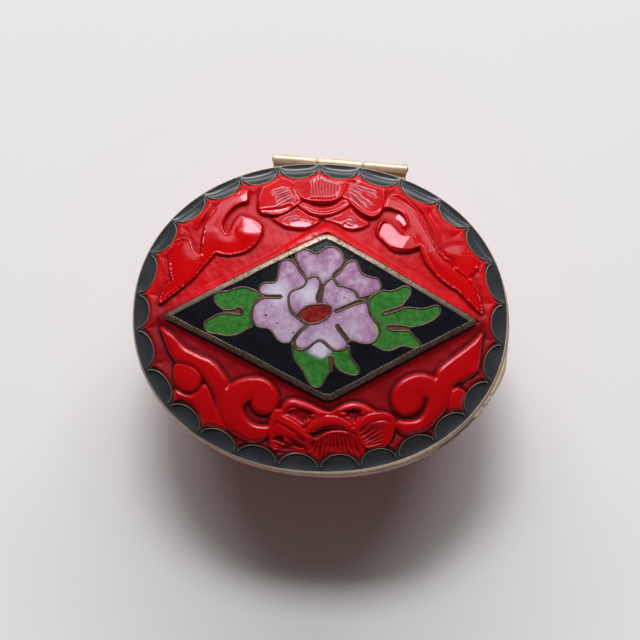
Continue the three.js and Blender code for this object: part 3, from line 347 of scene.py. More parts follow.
def width_angle(x, y, a, b):
    """How far a point lies in from the oval's edge, and its angle round it."""
    lo, hi = np.full(x.shape, -2.0), np.full(x.shape, 20.0)
    for _ in range(34):
        m = (lo + hi) / 2
        v = np.abs(x / (a - m)) ** POW + np.abs(y / (b - m)) ** POW
        out = v > 1
        hi = np.where(out, m, hi)
        lo = np.where(out, lo, m)
    m = (lo + hi) / 2
    t = np.arctan2(sgnpow(y / (b - m), POW / 2), sgnpow(x / (a - m), POW / 2)) % (2 * math.pi)
    return m, t


def cell_of(t, cusps):
    """Index of the scallop a place lies in and how far it is across it."""
    c = np.append(cusps, cusps[0] + 2 * math.pi)
    tt = np.where(t < c[0], t + 2 * math.pi, t)
    k = np.clip(np.searchsorted(c, tt, side="right") - 1, 0, len(cusps) - 1)
    return k, (tt - c[k]) / (c[k + 1] - c[k])


def bulge(f):
    d = np.clip(np.abs(2 * f - 1), 0, 1)
    return (1 - d ** 2.1) ** 0.56


def to_row(x, y, lid):
    if lid:
        c, s = math.cos(LID_TURN), math.sin(LID_TURN)
        return c * x - s * y + LID_C[0], s * x + c * y + LID_C[1]
    return x + BODY_C[0], y + BODY_C[1]


# ---- meshes -------------------------------------------------------------------
def build(name, V, F, body, mats, attrs=None, smooth=True, index=None):
    V = np.asarray(V, float)
    me = bpy.data.meshes.new(name)
    lim_lo, lim_hi = np.array(cad_lo) / MM, np.array(cad_hi) / MM
    V = np.clip(V, lim_lo + 0.002, lim_hi - 0.002)
    if isinstance(F, np.ndarray):
        n, k = F.shape
        me.vertices.add(len(V))
        me.vertices.foreach_set("co", (V * MM).astype(np.float32).ravel())
        me.loops.add(n * k)
        me.loops.foreach_set("vertex_index", F.astype(np.int32).ravel())
        me.polygons.add(n)
        me.polygons.foreach_set("loop_start", (np.arange(n) * k).astype(np.int32))
        me.polygons.foreach_set("loop_total", np.full(n, k, np.int32))
        me.update(calc_edges=True)
    else:
        me.from_pydata((V * MM).tolist(), [], F)
    me.validate()
    for m in mats:
        me.materials.append(m)
    me.polygons.foreach_set("use_smooth", np.full(len(me.polygons), smooth))
    if index is not None:
        me.polygons.foreach_set("material_index", np.asarray(index, np.int32))
    for a, v in (attrs or {}).items():
        at = me.attributes.new(a, "FLOAT", "POINT")
        at.data.foreach_set("value", np.asarray(v, np.float32).ravel())
    me.update()
    o = bpy.data.objects.new(name, me)
    bpy.context.scene.collection.objects.link(o)
    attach(o, body)
    return o


def grid_faces(nu, nv, wrap_u=False, wrap_v=False):
    """Quads of a grid of nu rows and nv columns, numbered row by row."""
    i = np.arange(nu if wrap_u else nu - 1)
    j = np.arange(nv if wrap_v else nv - 1)
    I, J = np.meshgrid(i, j, indexing="ij")
    I2, J2 = (I + 1) % nu, (J + 1) % nv
    return np.stack([I * nv + J, I2 * nv + J, I2 * nv + J2, I * nv + J2], -1).reshape(-1, 4)


def faces_out(V, F, centre):
    """Turns the quads so that they face away from the centre."""
    a, b, c = V[F[:, 0]], V[F[:, 1]], V[F[:, 2]]
    n = np.cross(b - a, c - a)
    if (n * (a - centre)).sum() < 0:
        return F[:, ::-1].copy()
    return F


def sweep(path, radius, sides=6, closed=False, flat=1.0, up=None):
    """Round wire along a path; radius is one number or one for each point."""
    P = np.asarray(path, float)
    n = len(P)
    T = np.roll(P, -1, 0) - np.roll(P, 1, 0)
    if not closed:
        T[0], T[-1] = P[1] - P[0], P[-1] - P[-2]
    T /= np.linalg.norm(T, axis=1)[:, None] + 1e-12
    U = np.tile(np.array([0, 0, 1.0]) if up is None else np.asarray(up, float), (n, 1)) if up is None or np.ndim(up) == 1 else up
    S = np.cross(T, U)
    S /= np.linalg.norm(S, axis=1)[:, None] + 1e-12
    U = np.cross(S, T)
    r = np.broadcast_to(radius, (n,))
    V = []
    for k in range(sides):
        a = 2 * math.pi * (k + 0.5) / sides
        V.append(P + (S * math.cos(a) + U * math.sin(a) * flat) * r[:, None])
    V = np.stack(V, 1).reshape(-1, 3)
    F = grid_faces(n, sides, closed, True)[:, ::-1]
    F = [list(map(int, f)) for f in F]
    if not closed:
        F.append(list(range(sides)))
        F.append([(n - 1) * sides + k for k in range(sides)][::-1])
    return V, F


def join(parts):
    V, F, base = [], [], 0
    for v, f in parts:
        V.append(v)
        F += [[i + base for i in q] for q in f]
        base += len(v)
    return np.vstack(V), F


def ring_surface(profile, a, b, n=720):
    """Surface round an oval through (inset, height) pairs."""
    t = np.linspace(0, 2 * math.pi, n, endpoint=False)
    rows = []
    for d, z in profile:
        x, y = oval(a - d, b - d, t)
        rows.append(np.stack([x, y, np.full(n, z)], -1))
    V = np.stack(rows, 0)
    return V.reshape(-1, 3), grid_faces(len(profile), n, False, True)


def cut_notch(V):
    """Presses the hollow for the hinge barrel into row-frame points."""
    V = V.copy()
    lo, hi = mm_box("hinge_pin")
    run = (V[:, 0] > HINGE[0] - 10.6) & (V[:, 0] < HINGE[0] + 10.6)
    dy, dz = V[:, 1] - HINGE[1], V[:, 2] - HINGE[2]
    r = np.hypot(dy, dz)
    hit = run & (r < NOTCH_R)
    ang = np.arctan2(dz[hit], dy[hit])
    # points behind the axis go to the front of the hollow
    ang = np.where(np.abs(ang) < math.pi / 2, np.sign(ang + 1e-9) * math.pi - ang, ang)
    V[hit, 1] = HINGE[1] + NOTCH_R * np.cos(ang)
    V[hit, 2] = HINGE[2] + NOTCH_R * np.sin(ang)
    return V

# ---- materials ------------------------------------------------------------------
def material(name):
    m = bpy.data.materials.new(name)
    m.use_nodes = True
    nt = m.node_tree
    nt.nodes.clear()
    out = nt.nodes.new("ShaderNodeOutputMaterial")
    sh = nt.nodes.new("ShaderNodeBsdfPrincipled")
    nt.links.new(sh.outputs[0], out.inputs[0])
    co = nt.nodes.new("ShaderNodeTexCoord")
    return m, nt, sh, co.outputs["Object"]


def noise(nt, co, scale, detail=4, rough=0.55, dist=0.0, stretch=None):
    if stretch is not None:
        mp = nt.nodes.new("ShaderNodeMapping")
        mp.inputs["Scale"].default_value = stretch
        nt.links.new(co, mp.inputs[0])
        co = mp.outputs[0]
    n = nt.nodes.new("ShaderNodeTexNoise")
    n.inputs["Scale"].default_value = scale
    n.inputs["Detail"].default_value = detail
    n.inputs["Roughness"].default_value = rough
    n.inputs["Distortion"].default_value = dist
    nt.links.new(co, n.inputs["Vector"])
    return n.outputs["Fac"]


def ramp(nt, fac, *stops):
    r = nt.nodes.new("ShaderNodeValToRGB")
    e = r.color_ramp.elements
    while len(e) < len(stops):
        e.new(0.5)
    for el, (p, c) in zip(e, stops):
        el.position = p
        el.color = (*c, 1) if len(c) == 3 else c
    nt.links.new(fac, r.inputs[0])
    return r.outputs[0]


def grey(v):
    return (v, v, v)


def mix(nt, fac, a, b, kind="MIX"):
    n = nt.nodes.new("ShaderNodeMix")
    n.data_type = "RGBA"
    n.blend_type = kind
    if isinstance(fac, (int, float)):
        n.inputs[0].default_value = fac
    else:
        nt.links.new(fac, n.inputs[0])
    for v, s in ((a, 6), (b, 7)):
        if isinstance(v, tuple):
            n.inputs[s].default_value = (*v, 1)
        else:
            nt.links.new(v, n.inputs[s])
    return n.outputs[2]


def attr(nt, name):
    a = nt.nodes.new("ShaderNodeAttribute")
    a.attribute_name = name
    return a.outputs["Fac"]


def bump(nt, height, strength, distance):
    b = nt.nodes.new("ShaderNodeBump")
    b.inputs["Strength"].default_value = strength
    b.inputs["Distance"].default_value = distance
    nt.links.new(height, b.inputs["Height"])
    return b.outputs[0]


def brass_material(name, bright, mid, dark, rough=(0.3, 0.55), tarnish=0.5, metal=0.75):
    m, nt, sh, co = material(name)
    big = noise(nt, co, 260, 5, 0.6)
    fine = noise(nt, co, 1900, 4, 0.65)
    c = mix(nt, ramp(nt, big, (0.34, grey(0)), (0.68, grey(1))), mid, bright)
    c = mix(nt, ramp(nt, fine, (0.30, grey(tarnish)), (0.52, grey(0))), c, dark)
    nt.links.new(c, sh.inputs["Base Color"])
    sh.inputs["Metallic"].default_value = metal
    nt.links.new(ramp(nt, fine, (0.3, grey(rough[1])), (0.7, grey(rough[0]))), sh.inputs["Roughness"])
    nt.links.new(bump(nt, fine, 0.12, 0.00003), sh.inputs["Normal"])
    return m


def lacquer_material(name, specular):
    m, nt, sh, co = material(name)
    top = attr(nt, "raised")
    cut = attr(nt, "cut")
    big = noise(nt, co, 160, 3, 0.5)
    fine = noise(nt, co, 2600, 5, 0.7)
    ground = mix(nt, ramp(nt, big, (0.3, grey(0)), (0.7, grey(1))), (0.50, 0.0014, 0.0038), (0.61, 0.0022, 0.0052))
    high = mix(nt, ramp(nt, big, (0.35, grey(0)), (0.7, grey(1))), (0.51, 0.0010, 0.0022), (0.60, 0.0018, 0.0035))
    c = mix(nt, top, ground, high)
    # painted shade: this mask darkens the red to a deep crimson in grooves, hollows and recesses, next to the frame and
    # towards the front
    c = mix(nt, cut, c, (0.062, 0.0012, 0.0035))
    c = mix(nt, ramp(nt, fine, (0.28, grey(0.35)), (0.45, grey(0))), c, (0.16, 0.002, 0.003))
    nt.links.new(c, sh.inputs["Base Color"])
    rg = ramp(nt, fine, (0.3, grey(0.34)), (0.75, grey(0.46)))
    rt = ramp(nt, fine, (0.3, grey(0.10)), (0.75, grey(0.17)))
    nt.links.new(mix(nt, cut, mix(nt, top, rg, rt), grey(0.60)), sh.inputs["Roughness"])
    sh.inputs["Specular IOR Level"].default_value = specular
    sh.inputs["Specular Tint"].default_value = (0.95, 0.86, 1.0, 1.0)
    grain = noise(nt, co, 1500, 4, 0.65)
    nt.links.new(bump(nt, grain, 0.08, 0.00005), sh.inputs["Normal"])
    return m


def enamel_material(name):
    m, nt, sh, co = material(name)
    big = noise(nt, co, 300, 4, 0.6)
    fine = noise(nt, co, 3000, 3, 0.6)
    c = ramp(nt, big, (0.3, (0.026, 0.029, 0.034)), (0.7, (0.042, 0.046, 0.052)))
    c = mix(nt, ramp(nt, fine, (0.66, grey(0)), (0.78, grey(0.6))), c, (0.09, 0.09, 0.09))
    nt.links.new(c, sh.inputs["Base Color"])
    nt.links.new(ramp(nt, fine, (0.3, grey(0.15)), (0.75, grey(0.24))), sh.inputs["Roughness"])
    sh.inputs["Specular IOR Level"].default_value = 0.22
    nt.links.new(bump(nt, fine, 0.15, 0.00003), sh.inputs["Normal"])
    return m


def plaque_material(name):
    m, nt, sh, co = material(name)
    big = noise(nt, co, 420, 4, 0.6)
    mid = noise(nt, co, 1300, 5, 0.65)
    fine = noise(nt, co, 4200, 3, 0.6)
    ground = ramp(nt, big, (0.3, (0.0035, 0.0037, 0.006)), (0.72, (0.008, 0.009, 0.016)))
    ground = mix(nt, ramp(nt, fine, (0.7, grey(0)), (0.8, grey(0.5))), ground, (0.05, 0.05, 0.065))
    pink = mix(nt, ramp(nt, mid, (0.34, grey(0)), (0.64, grey(1))), (0.29, 0.138, 0.285), (0.51, 0.32, 0.465))
    pink = mix(nt, attr(nt, "mauve"), pink, (0.25, 0.098, 0.235))
    pink = mix(nt, attr(nt, "white"), pink, (0.62, 0.62, 0.72))
    pink = mix(nt, ramp(nt, fine, (0.27, grey(0.75)), (0.36, grey(0))), pink, (0.20, 0.07, 0.17))
    leaf = mix(nt, ramp(nt, mid, (0.33, grey(0)), (0.68, grey(1))), (0.020, 0.115, 0.020), (0.055, 0.235, 0.040))
    leaf = mix(nt, ramp(nt, fine, (0.27, grey(0.85)), (0.36, grey(0))), leaf, (0.010, 0.042, 0.012))
    red = mix(nt, ramp(nt, mid, (0.38, grey(0)), (0.62, grey(1))), (0.15, 0.006, 0.007), (0.27, 0.020, 0.018))
    c = mix(nt, attr(nt, "leaf"), ground, leaf)
    c = mix(nt, attr(nt, "petal"), c, pink)
    c = mix(nt, attr(nt, "centre"), c, red)
    c = mix(nt, attr(nt, "slit"), c, (0.105, 0.05, 0.032))
    c = mix(nt, attr(nt, "lime"), c, (0.25, 0.42, 0.10))
    c = mix(nt, attr(nt, "speck"), c, (0.03, 0.012, 0.03))
    nt.links.new(c, sh.inputs["Base Color"])
    nt.links.new(ramp(nt, mid, (0.3, grey(0.12)), (0.75, grey(0.22))), sh.inputs["Roughness"])
    sh.inputs["Specular IOR Level"].default_value = 0.3
    nt.links.new(bump(nt, mid, 0.16, 0.00004), sh.inputs["Normal"])
    return m


def floor_material(name):
    m, nt, sh, co = material(name)
    big = noise(nt, co, 3, 2, 0.4)
    nt.links.new(ramp(nt, big, (0.3, (0.775, 0.775, 0.785)), (0.7, (0.80, 0.80, 0.81))), sh.inputs["Base Color"])
    nt.links.new(ramp(nt, big, (0.3, grey(0.8)), (0.7, grey(0.86))), sh.inputs["Roughness"])
    return m


RIM = brass_material("brass_rim", (0.56, 0.43, 0.33), (0.44, 0.33, 0.25), (0.20, 0.14, 0.10), (0.50, 0.66), 0.5, 0.4)
FRAME_BRASS = brass_material("brass_frame", (0.19, 0.134, 0.098), (0.13, 0.09, 0.065), (0.038, 0.024, 0.018), (0.28, 0.42), 1.0, 0.75)
WIRE = brass_material("brass_wire", (0.135, 0.090, 0.058), (0.078, 0.050, 0.032), (0.030, 0.018, 0.012), (0.34, 0.52), 0.9, 0.55)
BORDER_WIRE = brass_material("brass_border_wire", (0.22, 0.17, 0.12), (0.15, 0.115, 0.08), (0.07, 0.05, 0.035), (0.36, 0.52), 0.6, 0.55)
HINGE_BRASS = brass_material("brass_hinge", (0.74, 0.58, 0.43), (0.62, 0.47, 0.34), (0.32, 0.23, 0.16), (0.42, 0.56), 0.4, 0.45)
RED = lacquer_material("red_lacquer_look", 0.31)
RED_GROUND = lacquer_material("red_lacquer_look_ground", 0.14)
BLACK = enamel_material("black_enamel_look")
PLAQUE = plaque_material("plaque_enamel_look")

# ---- lid: carved lacquer ----------------------------------------------------------
TIPS = np.array([[23.5, -0.45], [0.5, 11.9], [-23.4, -1.4], [1.6, -13.4]])
# face name: height above the ground, width of its bevelled side, rise of its rounded top
FACES = {
    "ul_scroll": (0.86, 0.46, 0.08), "ul_leaf": (0.66, 0.55, 0.06), "bl_cup": (0.80, 0.42, 0.04),
    "bl_cresc": (0.62, 0.42, 0.04), "bl_left": (0.86, 0.46, 0.06), "bl_right": (0.86, 0.46, 0.06),
    "bl_top": (0.5, 0.4, 0.05), "bl_lensL": (0.60, 0.42, 0.1), "bl_lensR": (0.60, 0.42, 0.1),
    "ur_scroll": (0.84, 0.46, 0.05), "ur_leaf": (0.70, 0.5, 0.06), "ll_scroll": (0.88, 0.46, 0.08),
    "ll_bud": (0.68, 0.42, 0.1), "ll_tongue": (0.60, 0.45, 0.06), "lr_scroll": (0.88, 0.46, 0.08),
    "lr_chip": (0.66, 0.42, 0.08), "fl_backL": (0.60, 0.36, 0.10), "fl_backR": (0.60, 0.36, 0.10),
    "fl_crest": (0.74, 0.40, 0.10), "fl_skirt": (0.50, 0.36, 0.06), "fl_left": (0.80, 0.42, 0.10),
    "fl_right": (0.82, 0.42, 0.10),
}
FACETS = {"fa_urbulb": (0.66, 0.25), "fa_lensL": (0.50, 0.25), "fa_petL": (0.62, 0.5), "fa_ulbulb": (0.78, 2.0), "fa_lensR": (0.42, 0.25),
          "fa_curl": (0.28, 0.4)}
EASED = {"ll_scroll": 0.42, "lr_scroll": 0.42, "ll_bud": 0.25, "ll_tongue": 0.25, "lr_chip": 0.2}
CRESTS = {"crest48": "fl_left", "crest49": "fl_backL", "crest50": "fl_backR", "crest51": "fl_crest", "crest52": "fl_right"}
FOLD = {"bl_cup": 16.5, "bl_left": 15.2, "bl_right": 14.8, "bl_cresc": 14.8, "bl_lensL": 12.7, "bl_lensR": 12.9, "bl_top": 19.4}
TILTS = {"fl_skirt": (2.5, -17.6, 0.0, -0.09), "fl_left": (-5.0, -16.0, 0.0, -0.09), "fl_right": (8.0, -16.2, 0.0, -0.09), "ul_scroll": (-12.0, 16.6, -0.012, -0.03),
         "ur_scroll": (9.0, 18.6, 0.035, -0.03), "ul_leaf": (-18.5, 6.0, -0.08, 0.02), "ur_leaf": (18.0, 8.0, 0.05, 0.0)}
HOLLOWS = {"h_backL": (0.34, 0.5), "h_backR": (0.34, 0.5), "h_left1": (0.42, 0.22), "h_left2": (0.26, 0.6), "h_right": (0.24, 0.9),
           "h_cup": (0.07, 0.8)}


def focus_lines(X, Y, fx, fy, count):
    """Fine grooves that fan out from a point, 0..1."""
    a = np.arctan2(Y - fy, X - fx)
    return 0.5 + 0.5 * np.cos(a * count)


def blur(A, step, width):
    """Softens a height grid over a width in millimetres."""
    s = width / step
    n = int(math.ceil(2.5 * s))
    k = np.exp(-0.5 * (np.arange(-n, n + 1) / s) ** 2)
    k /= k.sum()
    P = np.pad(A, n, mode="edge")
    R = sum(k[i] * P[i:i + A.shape[0], :] for i in range(2 * n + 1))
    return sum(k[i] * R[:, i:i + A.shape[1]] for i in range(2 * n + 1))


def lid_lacquer():
    step = 0.119
    gx = np.arange(-26.9, 26.95, step)
    gy = np.arange(-22.5, 22.55, step)
    x, y = np.meshgrid(gx, gy, indexing="ij")
    w, t = width_angle(x, y, LID_A, LID_B)
    k, f = cell_of(t, CUSPS)
    e = w - (NECK + DEEP * bulge(f))
    q = -sdf(x, y, TIPS, 14.0)
    keep = (e > -0.4) & (q > -0.42) & (w > 0.5)
    back = sm(-2.0, 3.0, y)
    D = {n: sdf(x, y, spline(outline(n))) for n in OUTLINES if OUTLINES[n][0] in ("face", "hollow", "facet")}
    g = 0.12 + 0.045 * lattice(x, y, 1.9, 3) + 0.02 * lattice(x, y, 0.7, 4)
    # ground rises to the border and hugs the plaque's frame
    g = g + 0.30 * (1 - sm(0.1, 2.3, e))
    top_tip = np.exp(-(((x - 0.5) / 7.5) ** 2 + ((y - 12.6) / 4.0) ** 2))
    left_tip = np.exp(-(((x + 3.6) / 3.4) ** 2 + ((y - 12.3) / 2.6) ** 2))
    lip = 1 - sm(0.25 + 0.5 * left_tip, 1.1 + 0.9 * top_tip, q)
    g = g + lip * (0.12 * back + 0.24 + 0.24 * top_tip * back) - 0.07 * left_tip * np.clip(q, 0, 1.2)
    # chisel marks, laid across each region its own way
    turn = 0.35 * np.round(2.2 * lattice(x, y, 4.5, 5))
    u = x * np.cos(turn + 0.8) + y * np.sin(turn + 0.8)
    v = -x * np.sin(turn + 0.8) + y * np.cos(turn + 0.8)
    chisel = blur(lattice(u * 3.0, v * 0.8, 1.0, 6), step, 0.12)
    chisel2 = blur(lattice(u * 1.3 + 5, v * 0.45, 1.0, 7), step, 0.2)
    g = g + (0.030 * chisel + 0.050 * chisel2) * sm(0.1, 0.6, e)
    h = g.copy()
    raised = np.zeros(x.shape)
    recess_shade = np.zeros(x.shape)
    for name, (H, wall, rise) in FACES.items():
        d = D[name]
        soft = blur(np.clip(d, 0, 1.4), step, 0.30) / 1.4
        fh = 0.08 + (H - rise - 0.08) * sm(-0.28, 0.02, d) + rise * soft
        if name.startswith("bl_"):
            # the back lotus: dished petals that sink towards the border
            f0 = FOLD.get(name, 13.0)
            yy = np.clip(y, f0, 21.5)
            fh = fh - (d > -0.29) * (0.03 * soft + 0.325 * (yy - f0) - 0.00718 * (yy * yy - f0 * f0))
        elif name.startswith("fl_"):
            # the front lotus: high rounded crests that fall away to ribbed skirts
            fh = fh - (d > 0) * 0.05 * soft
        if name in EASED:
            w = EASED[name]
            fh = fh - (d > -0.29) * 0.45 * (w - np.clip(d, 0, w))
        if name in TILTS:
            cx, cy, sx, sy = TILTS[name]
            fh = fh - (d > 0) * np.clip((x - cx) * sx + (y - cy) * sy, 0, 0.4)
        on = (d > -0.30) & (fh > h)
        h = np.where(on, fh, h)
        raised = np.maximum(raised, sm(-0.30, 0.02, d))
        near = np.exp(-((np.minimum(d, 0) + 0.30) / 0.30) ** 2) * (d < -0.2) * (d > -1.5)
        h = np.where((raised < 0.02), h - 0.07 * near, h)
        # painted shade in the recess that rings each raised face
        recess_shade = np.maximum(recess_shade, near * (d > -1.2))
    for name, (depth, ease) in HOLLOWS.items():
        dd = sm(0, ease, D[name])
        h = h - depth * dd
        raised = raised * (1 - (0.0 if name == "h_cup" else 0.45) * dd)
    # flat facets pared into the faces
    for name, (H, ease) in FACETS.items():
        P = np.array(outline(name))
        cx, cy = P.mean(0)
        m = sm(-0.5 * ease, 0.5 * ease, D[name])
        nx, ny = -0.0275 -0.00245 * cx +0.00000 * (cy - 13), 0.2049 +0.00000 * cx -0.00219 * (cy - 13)
        plane = dome(np.array([cx]), np.array([cy]))[0] + H - nx * (x - cx) - ny * (y - cy) - 0.004 * ((x - cx) ** 2 + (y - cy) ** 2)
        grain = 0.010 * chisel * (name in ("fa_urbulb", "fa_curl"))
        h = h * (1 - m) + (plane + grain - dome(x, y)) * m
        raised = raised * (1 - m) + m * {"fa_urbulb": 0.62, "fa_ulbulb": 0.85}.get(name, 1.0)
    # fan cuts on the petals, with painted shade in the hollows and ribbed skirts
    dark = np.zeros(x.shape)
    wander = lattice(x, y, 0.9, 9)
    for n, fx, fy, cnt, dep, p in (("h_cup", 0.3, 2.0, 235, 0.055, 1.0), ("h_backL", 1.0, -22.5, 85, 0.15, 1.5), ("h_backR", 3.4, -22.5, 85, 0.15, 1.5),
                                   ("fl_skirt", 2.1, -11.8, 80, 0.20, 1.5)):
        d = D[n]
        rib = focus_lines(x + 0.10 * wander, y, fx, fy, cnt) ** p
        h = h - dep * sm(0.12, 0.5, d) * rib
        if n != "h_cup":
            raised = raised * (1 - 0.5 * sm(0.15, 0.45, d))
            hollow_shade_tone = (0.50, 0.5) if n != "fl_skirt" else (0.36, 0.64)
            dark = np.maximum(dark, sm(0.0, 0.35, d) * (hollow_shade_tone[0] + hollow_shade_tone[1] * rib ** 1.5 * sm(-0.6, 0.3, wander + 0.3)))
        else:
            dark = np.maximum(dark, 0.42 * sm(0.2, 0.6, d) * rib ** 2)
    # painted shade in the lotus's hole and lower hollows
    for n, a in (("h_left1", 0.95), ("h_left2", 0.42), ("h_right", 0.25)):
        dark = np.maximum(dark, a * sm(0.0, 0.3, D[n]))
    for name in OUTLINES:
        kind = OUTLINES[name][0]
        if kind == "cut":
            d, s = line_dist(x, y, outline(name))
            taper = 0.35 + 0.65 * np.sin(math.pi * np.clip(s, 0.02, 0.98)) ** 0.6
            c = np.clip(1 - d / (0.17 * taper + 0.03), 0, 1)
            front = sm(-8.0, -12.0, y)
            h = h - (0.05 + 0.24 * front) * taper * c
            raised = raised * (1 - 0.4 * c)
            # painted shade along the bottom of the cut
            dark = np.maximum(dark, (0.80 + 0.20 * front) * c ** 0.7 * taper)
        elif kind == "groove":
            d, s = line_dist(x, y, spline(outline(name), False))
            c = np.clip(1 - d / 0.26, 0, 1)
            h = h - 0.34 * c
            # painted shade in the groove
            recess_shade = np.maximum(recess_shade, c)
        elif kind == "lip":
            d, s = line_dist(x, y, spline(outline(name), False))
            end = np.sin(math.pi * np.clip(s, 0.02, 0.98)) ** 0.5
            h = h + 0.13 * np.exp(-(d / 0.22) ** 2) * end * (raised > 0.3)
        elif kind == "crest":
            d, s = line_dist(x, y, spline(outline(name), False), 2.0)
            face = D[CRESTS[name]]
            ends = sm(0, 0.10, s) * sm(1, 0.90, s)
            depth = 0.45 + 0.50 * np.sin(math.pi * np.clip(s, 0, 1)) ** 0.7
            near = (d < 1.3) & (face > -0.05)
            ring = np.exp(-((face - depth - 0.16) / 0.15) ** 2) * ends * near
            h = h - 0.16 * ring
            # painted shade in the undercut below the crest
            dark = np.maximum(dark, 0.6 * ring)
            on = sm(-0.02, 0.06, face) * sm(depth + 0.06, depth - 0.06, face) * ends * near
            top = 0.50 + 0.46 * np.clip(face, 0, 0.42) + 0.14 * np.clip(face - 0.42, 0, 0.6)
            h = h * (1 - on) + np.maximum(h, top) * on
            raised = np.maximum(raised, on)
            recess_shade = recess_shade * (1 - on)
            dark = dark * (1 - on)
        elif kind == "ridge":
            d, s = line_dist(x, y, spline(outline(name), False))
            h = h + 0.15 * np.exp(-(d / 0.24) ** 2) * np.sin(math.pi * np.clip(s, 0, 1)) ** 0.5
        elif kind == "fine":
            d, s = line_dist(x, y, spline(outline(name), False))
            h = h + 0.07 * np.exp(-(d / 0.17) ** 2) * np.sin(math.pi * np.clip(s, 0, 1)) ** 0.5
        elif kind == "broad":
            d, s = line_dist(x, y, spline(outline(name), False))
            ease = np.sin(math.pi * np.clip(s, 0, 1)) ** 0.5
            h = h + (0.15 * np.exp(-(d / 0.40) ** 2) - 0.10 * np.exp(-((d - 0.85) / 0.3) ** 2)) * ease
    h = 0.35 * h + 0.65 * blur(h, step, 0.085)
    # the skin drops under the border's wire and under the frame
    h = np.where(e < 0.45, np.minimum(h, 0.07 + 0.9 * np.maximum(e, 0)), h)
    h = h - 0.5 * sm(0.0, -0.3, e)
    h = np.where(q < 0.0, np.minimum(h, 0.3), h)
    h = np.clip(h, -0.5, 0.9)
    z = dome(x, y) + h
    xr, yr = to_row(x, y, True)
    idx = -np.ones(x.shape, int)
    idx[keep] = np.arange(keep.sum())
    a, b, c, d4 = idx[:-1, :-1], idx[1:, :-1], idx[1:, 1:], idx[:-1, 1:]
    ok = (a >= 0) & (b >= 0) & (c >= 0) & (d4 >= 0)
    F = np.stack([a[ok], b[ok], c[ok], d4[ok]], -1)
    raised = np.maximum(raised, 0.8 * left_tip * (q > 0) * lip)
    # painted shade: the ground darkens towards the front, next to the frame's lower sides and in recesses; all faces
    # darken a little towards the front
    painted_frame_shadow = (1 - back) * 0.9 * sm(1.7, 0.1, q) * (q > -0.6)
    ground_cut = np.clip(np.maximum(np.maximum(recess_shade * 0.5 + 0.62 * (1 - back), painted_frame_shadow) * (1 - raised), np.maximum(dark, 0.21 * (1 - back))), 0, 1)
    V = np.stack([xr[keep], yr[keep], z[keep]], -1)
    low = ((raised[keep][F].mean(1) < 0.4) | (ground_cut[keep][F].mean(1) > 0.34)).astype(int)
    o = build("lid_lacquer_skin", V, F, "lid", [RED, RED_GROUND], {"raised": raised[keep], "cut": ground_cut[keep]}, index=low)
    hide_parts("lid_lacquer")
    print("lid lacquer triangles", 2 * len(F))


lid_lacquer()


# ---- lid: enamel border and its wires -----------------------------------------------
def lid_border():
    n = len(CUSPS) * 44
    t = np.linspace(0, 2 * math.pi, n, endpoint=False) + CUSPS[0]
    k, f = cell_of(t % (2 * math.pi), CUSPS)
    inner = NECK + DEEP * bulge(f)
    rows = 15
    V, cellmask = [], []
    for j in range(rows):
        s = j / (rows - 1)
        wd = 0.13 + (inner + 0.12 - 0.13) * s
        x, y = oval(LID_A - wd, LID_B - wd, t)
        # dish: the middle of each scallop lies lowest
        across = np.clip(1 - np.abs(2 * f - 1) ** 2, 0, 1)
        dish = 0.30 * np.sin(math.pi * s ** 0.80) * across ** 0.6
        low = 0.06 * (1 - s) ** 3
        z = dome(x, y) + 0.03 - dish - low
        if j == rows - 1:
            z = z - 0.35
        if j == 0:
            z = z - 0.02
        xr, yr = to_row(x, y, True)
        V.append(np.stack([xr, yr, z], -1))
    V = np.stack(V, 0).reshape(-1, 3)
    V = cut_notch(V)
    F = grid_faces(rows, n, False, True)
    F = faces_out(V, F, np.array([LID_C[0], LID_C[1], 0.0]))
    o = build("lid_border_enamel", V, F, "lid", [BLACK])
    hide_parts("lid_border")
    parts = []
    for i in range(len(CUSPS)):
        a = CUSPS[i]
        b = CUSPS[(i + 1) % len(CUSPS)] + (2 * math.pi if i == len(CUSPS) - 1 else 0)
        ff = 0.5 - 0.5 * np.cos(np.linspace(0.0, 1, 40) * math.pi)
        ff = 0.05 + 0.90 * ff
        tt = a + (b - a) * ff
        wd = NECK - 0.42 + (DEEP + 0.42) * bulge((ff - 0.05) / 0.90)
        x, y = oval(LID_A - wd, LID_B - wd, tt)
        xr, yr = to_row(x, y, True)
        P = np.stack([xr, yr, dome(x, y) + 0.05], -1)
        parts.append(sweep(P, 0.105, 6, False, 0.8))
    V, F = join(parts)
    o = build("lid_border_wires", V, F, "lid", [BORDER_WIRE])


lid_border()


# ---- lid: brass rim and underside ---------------------------------------------------
SEAM = TOP_Z + 0.03
print('seam', TOP_Z, LID_LOW)


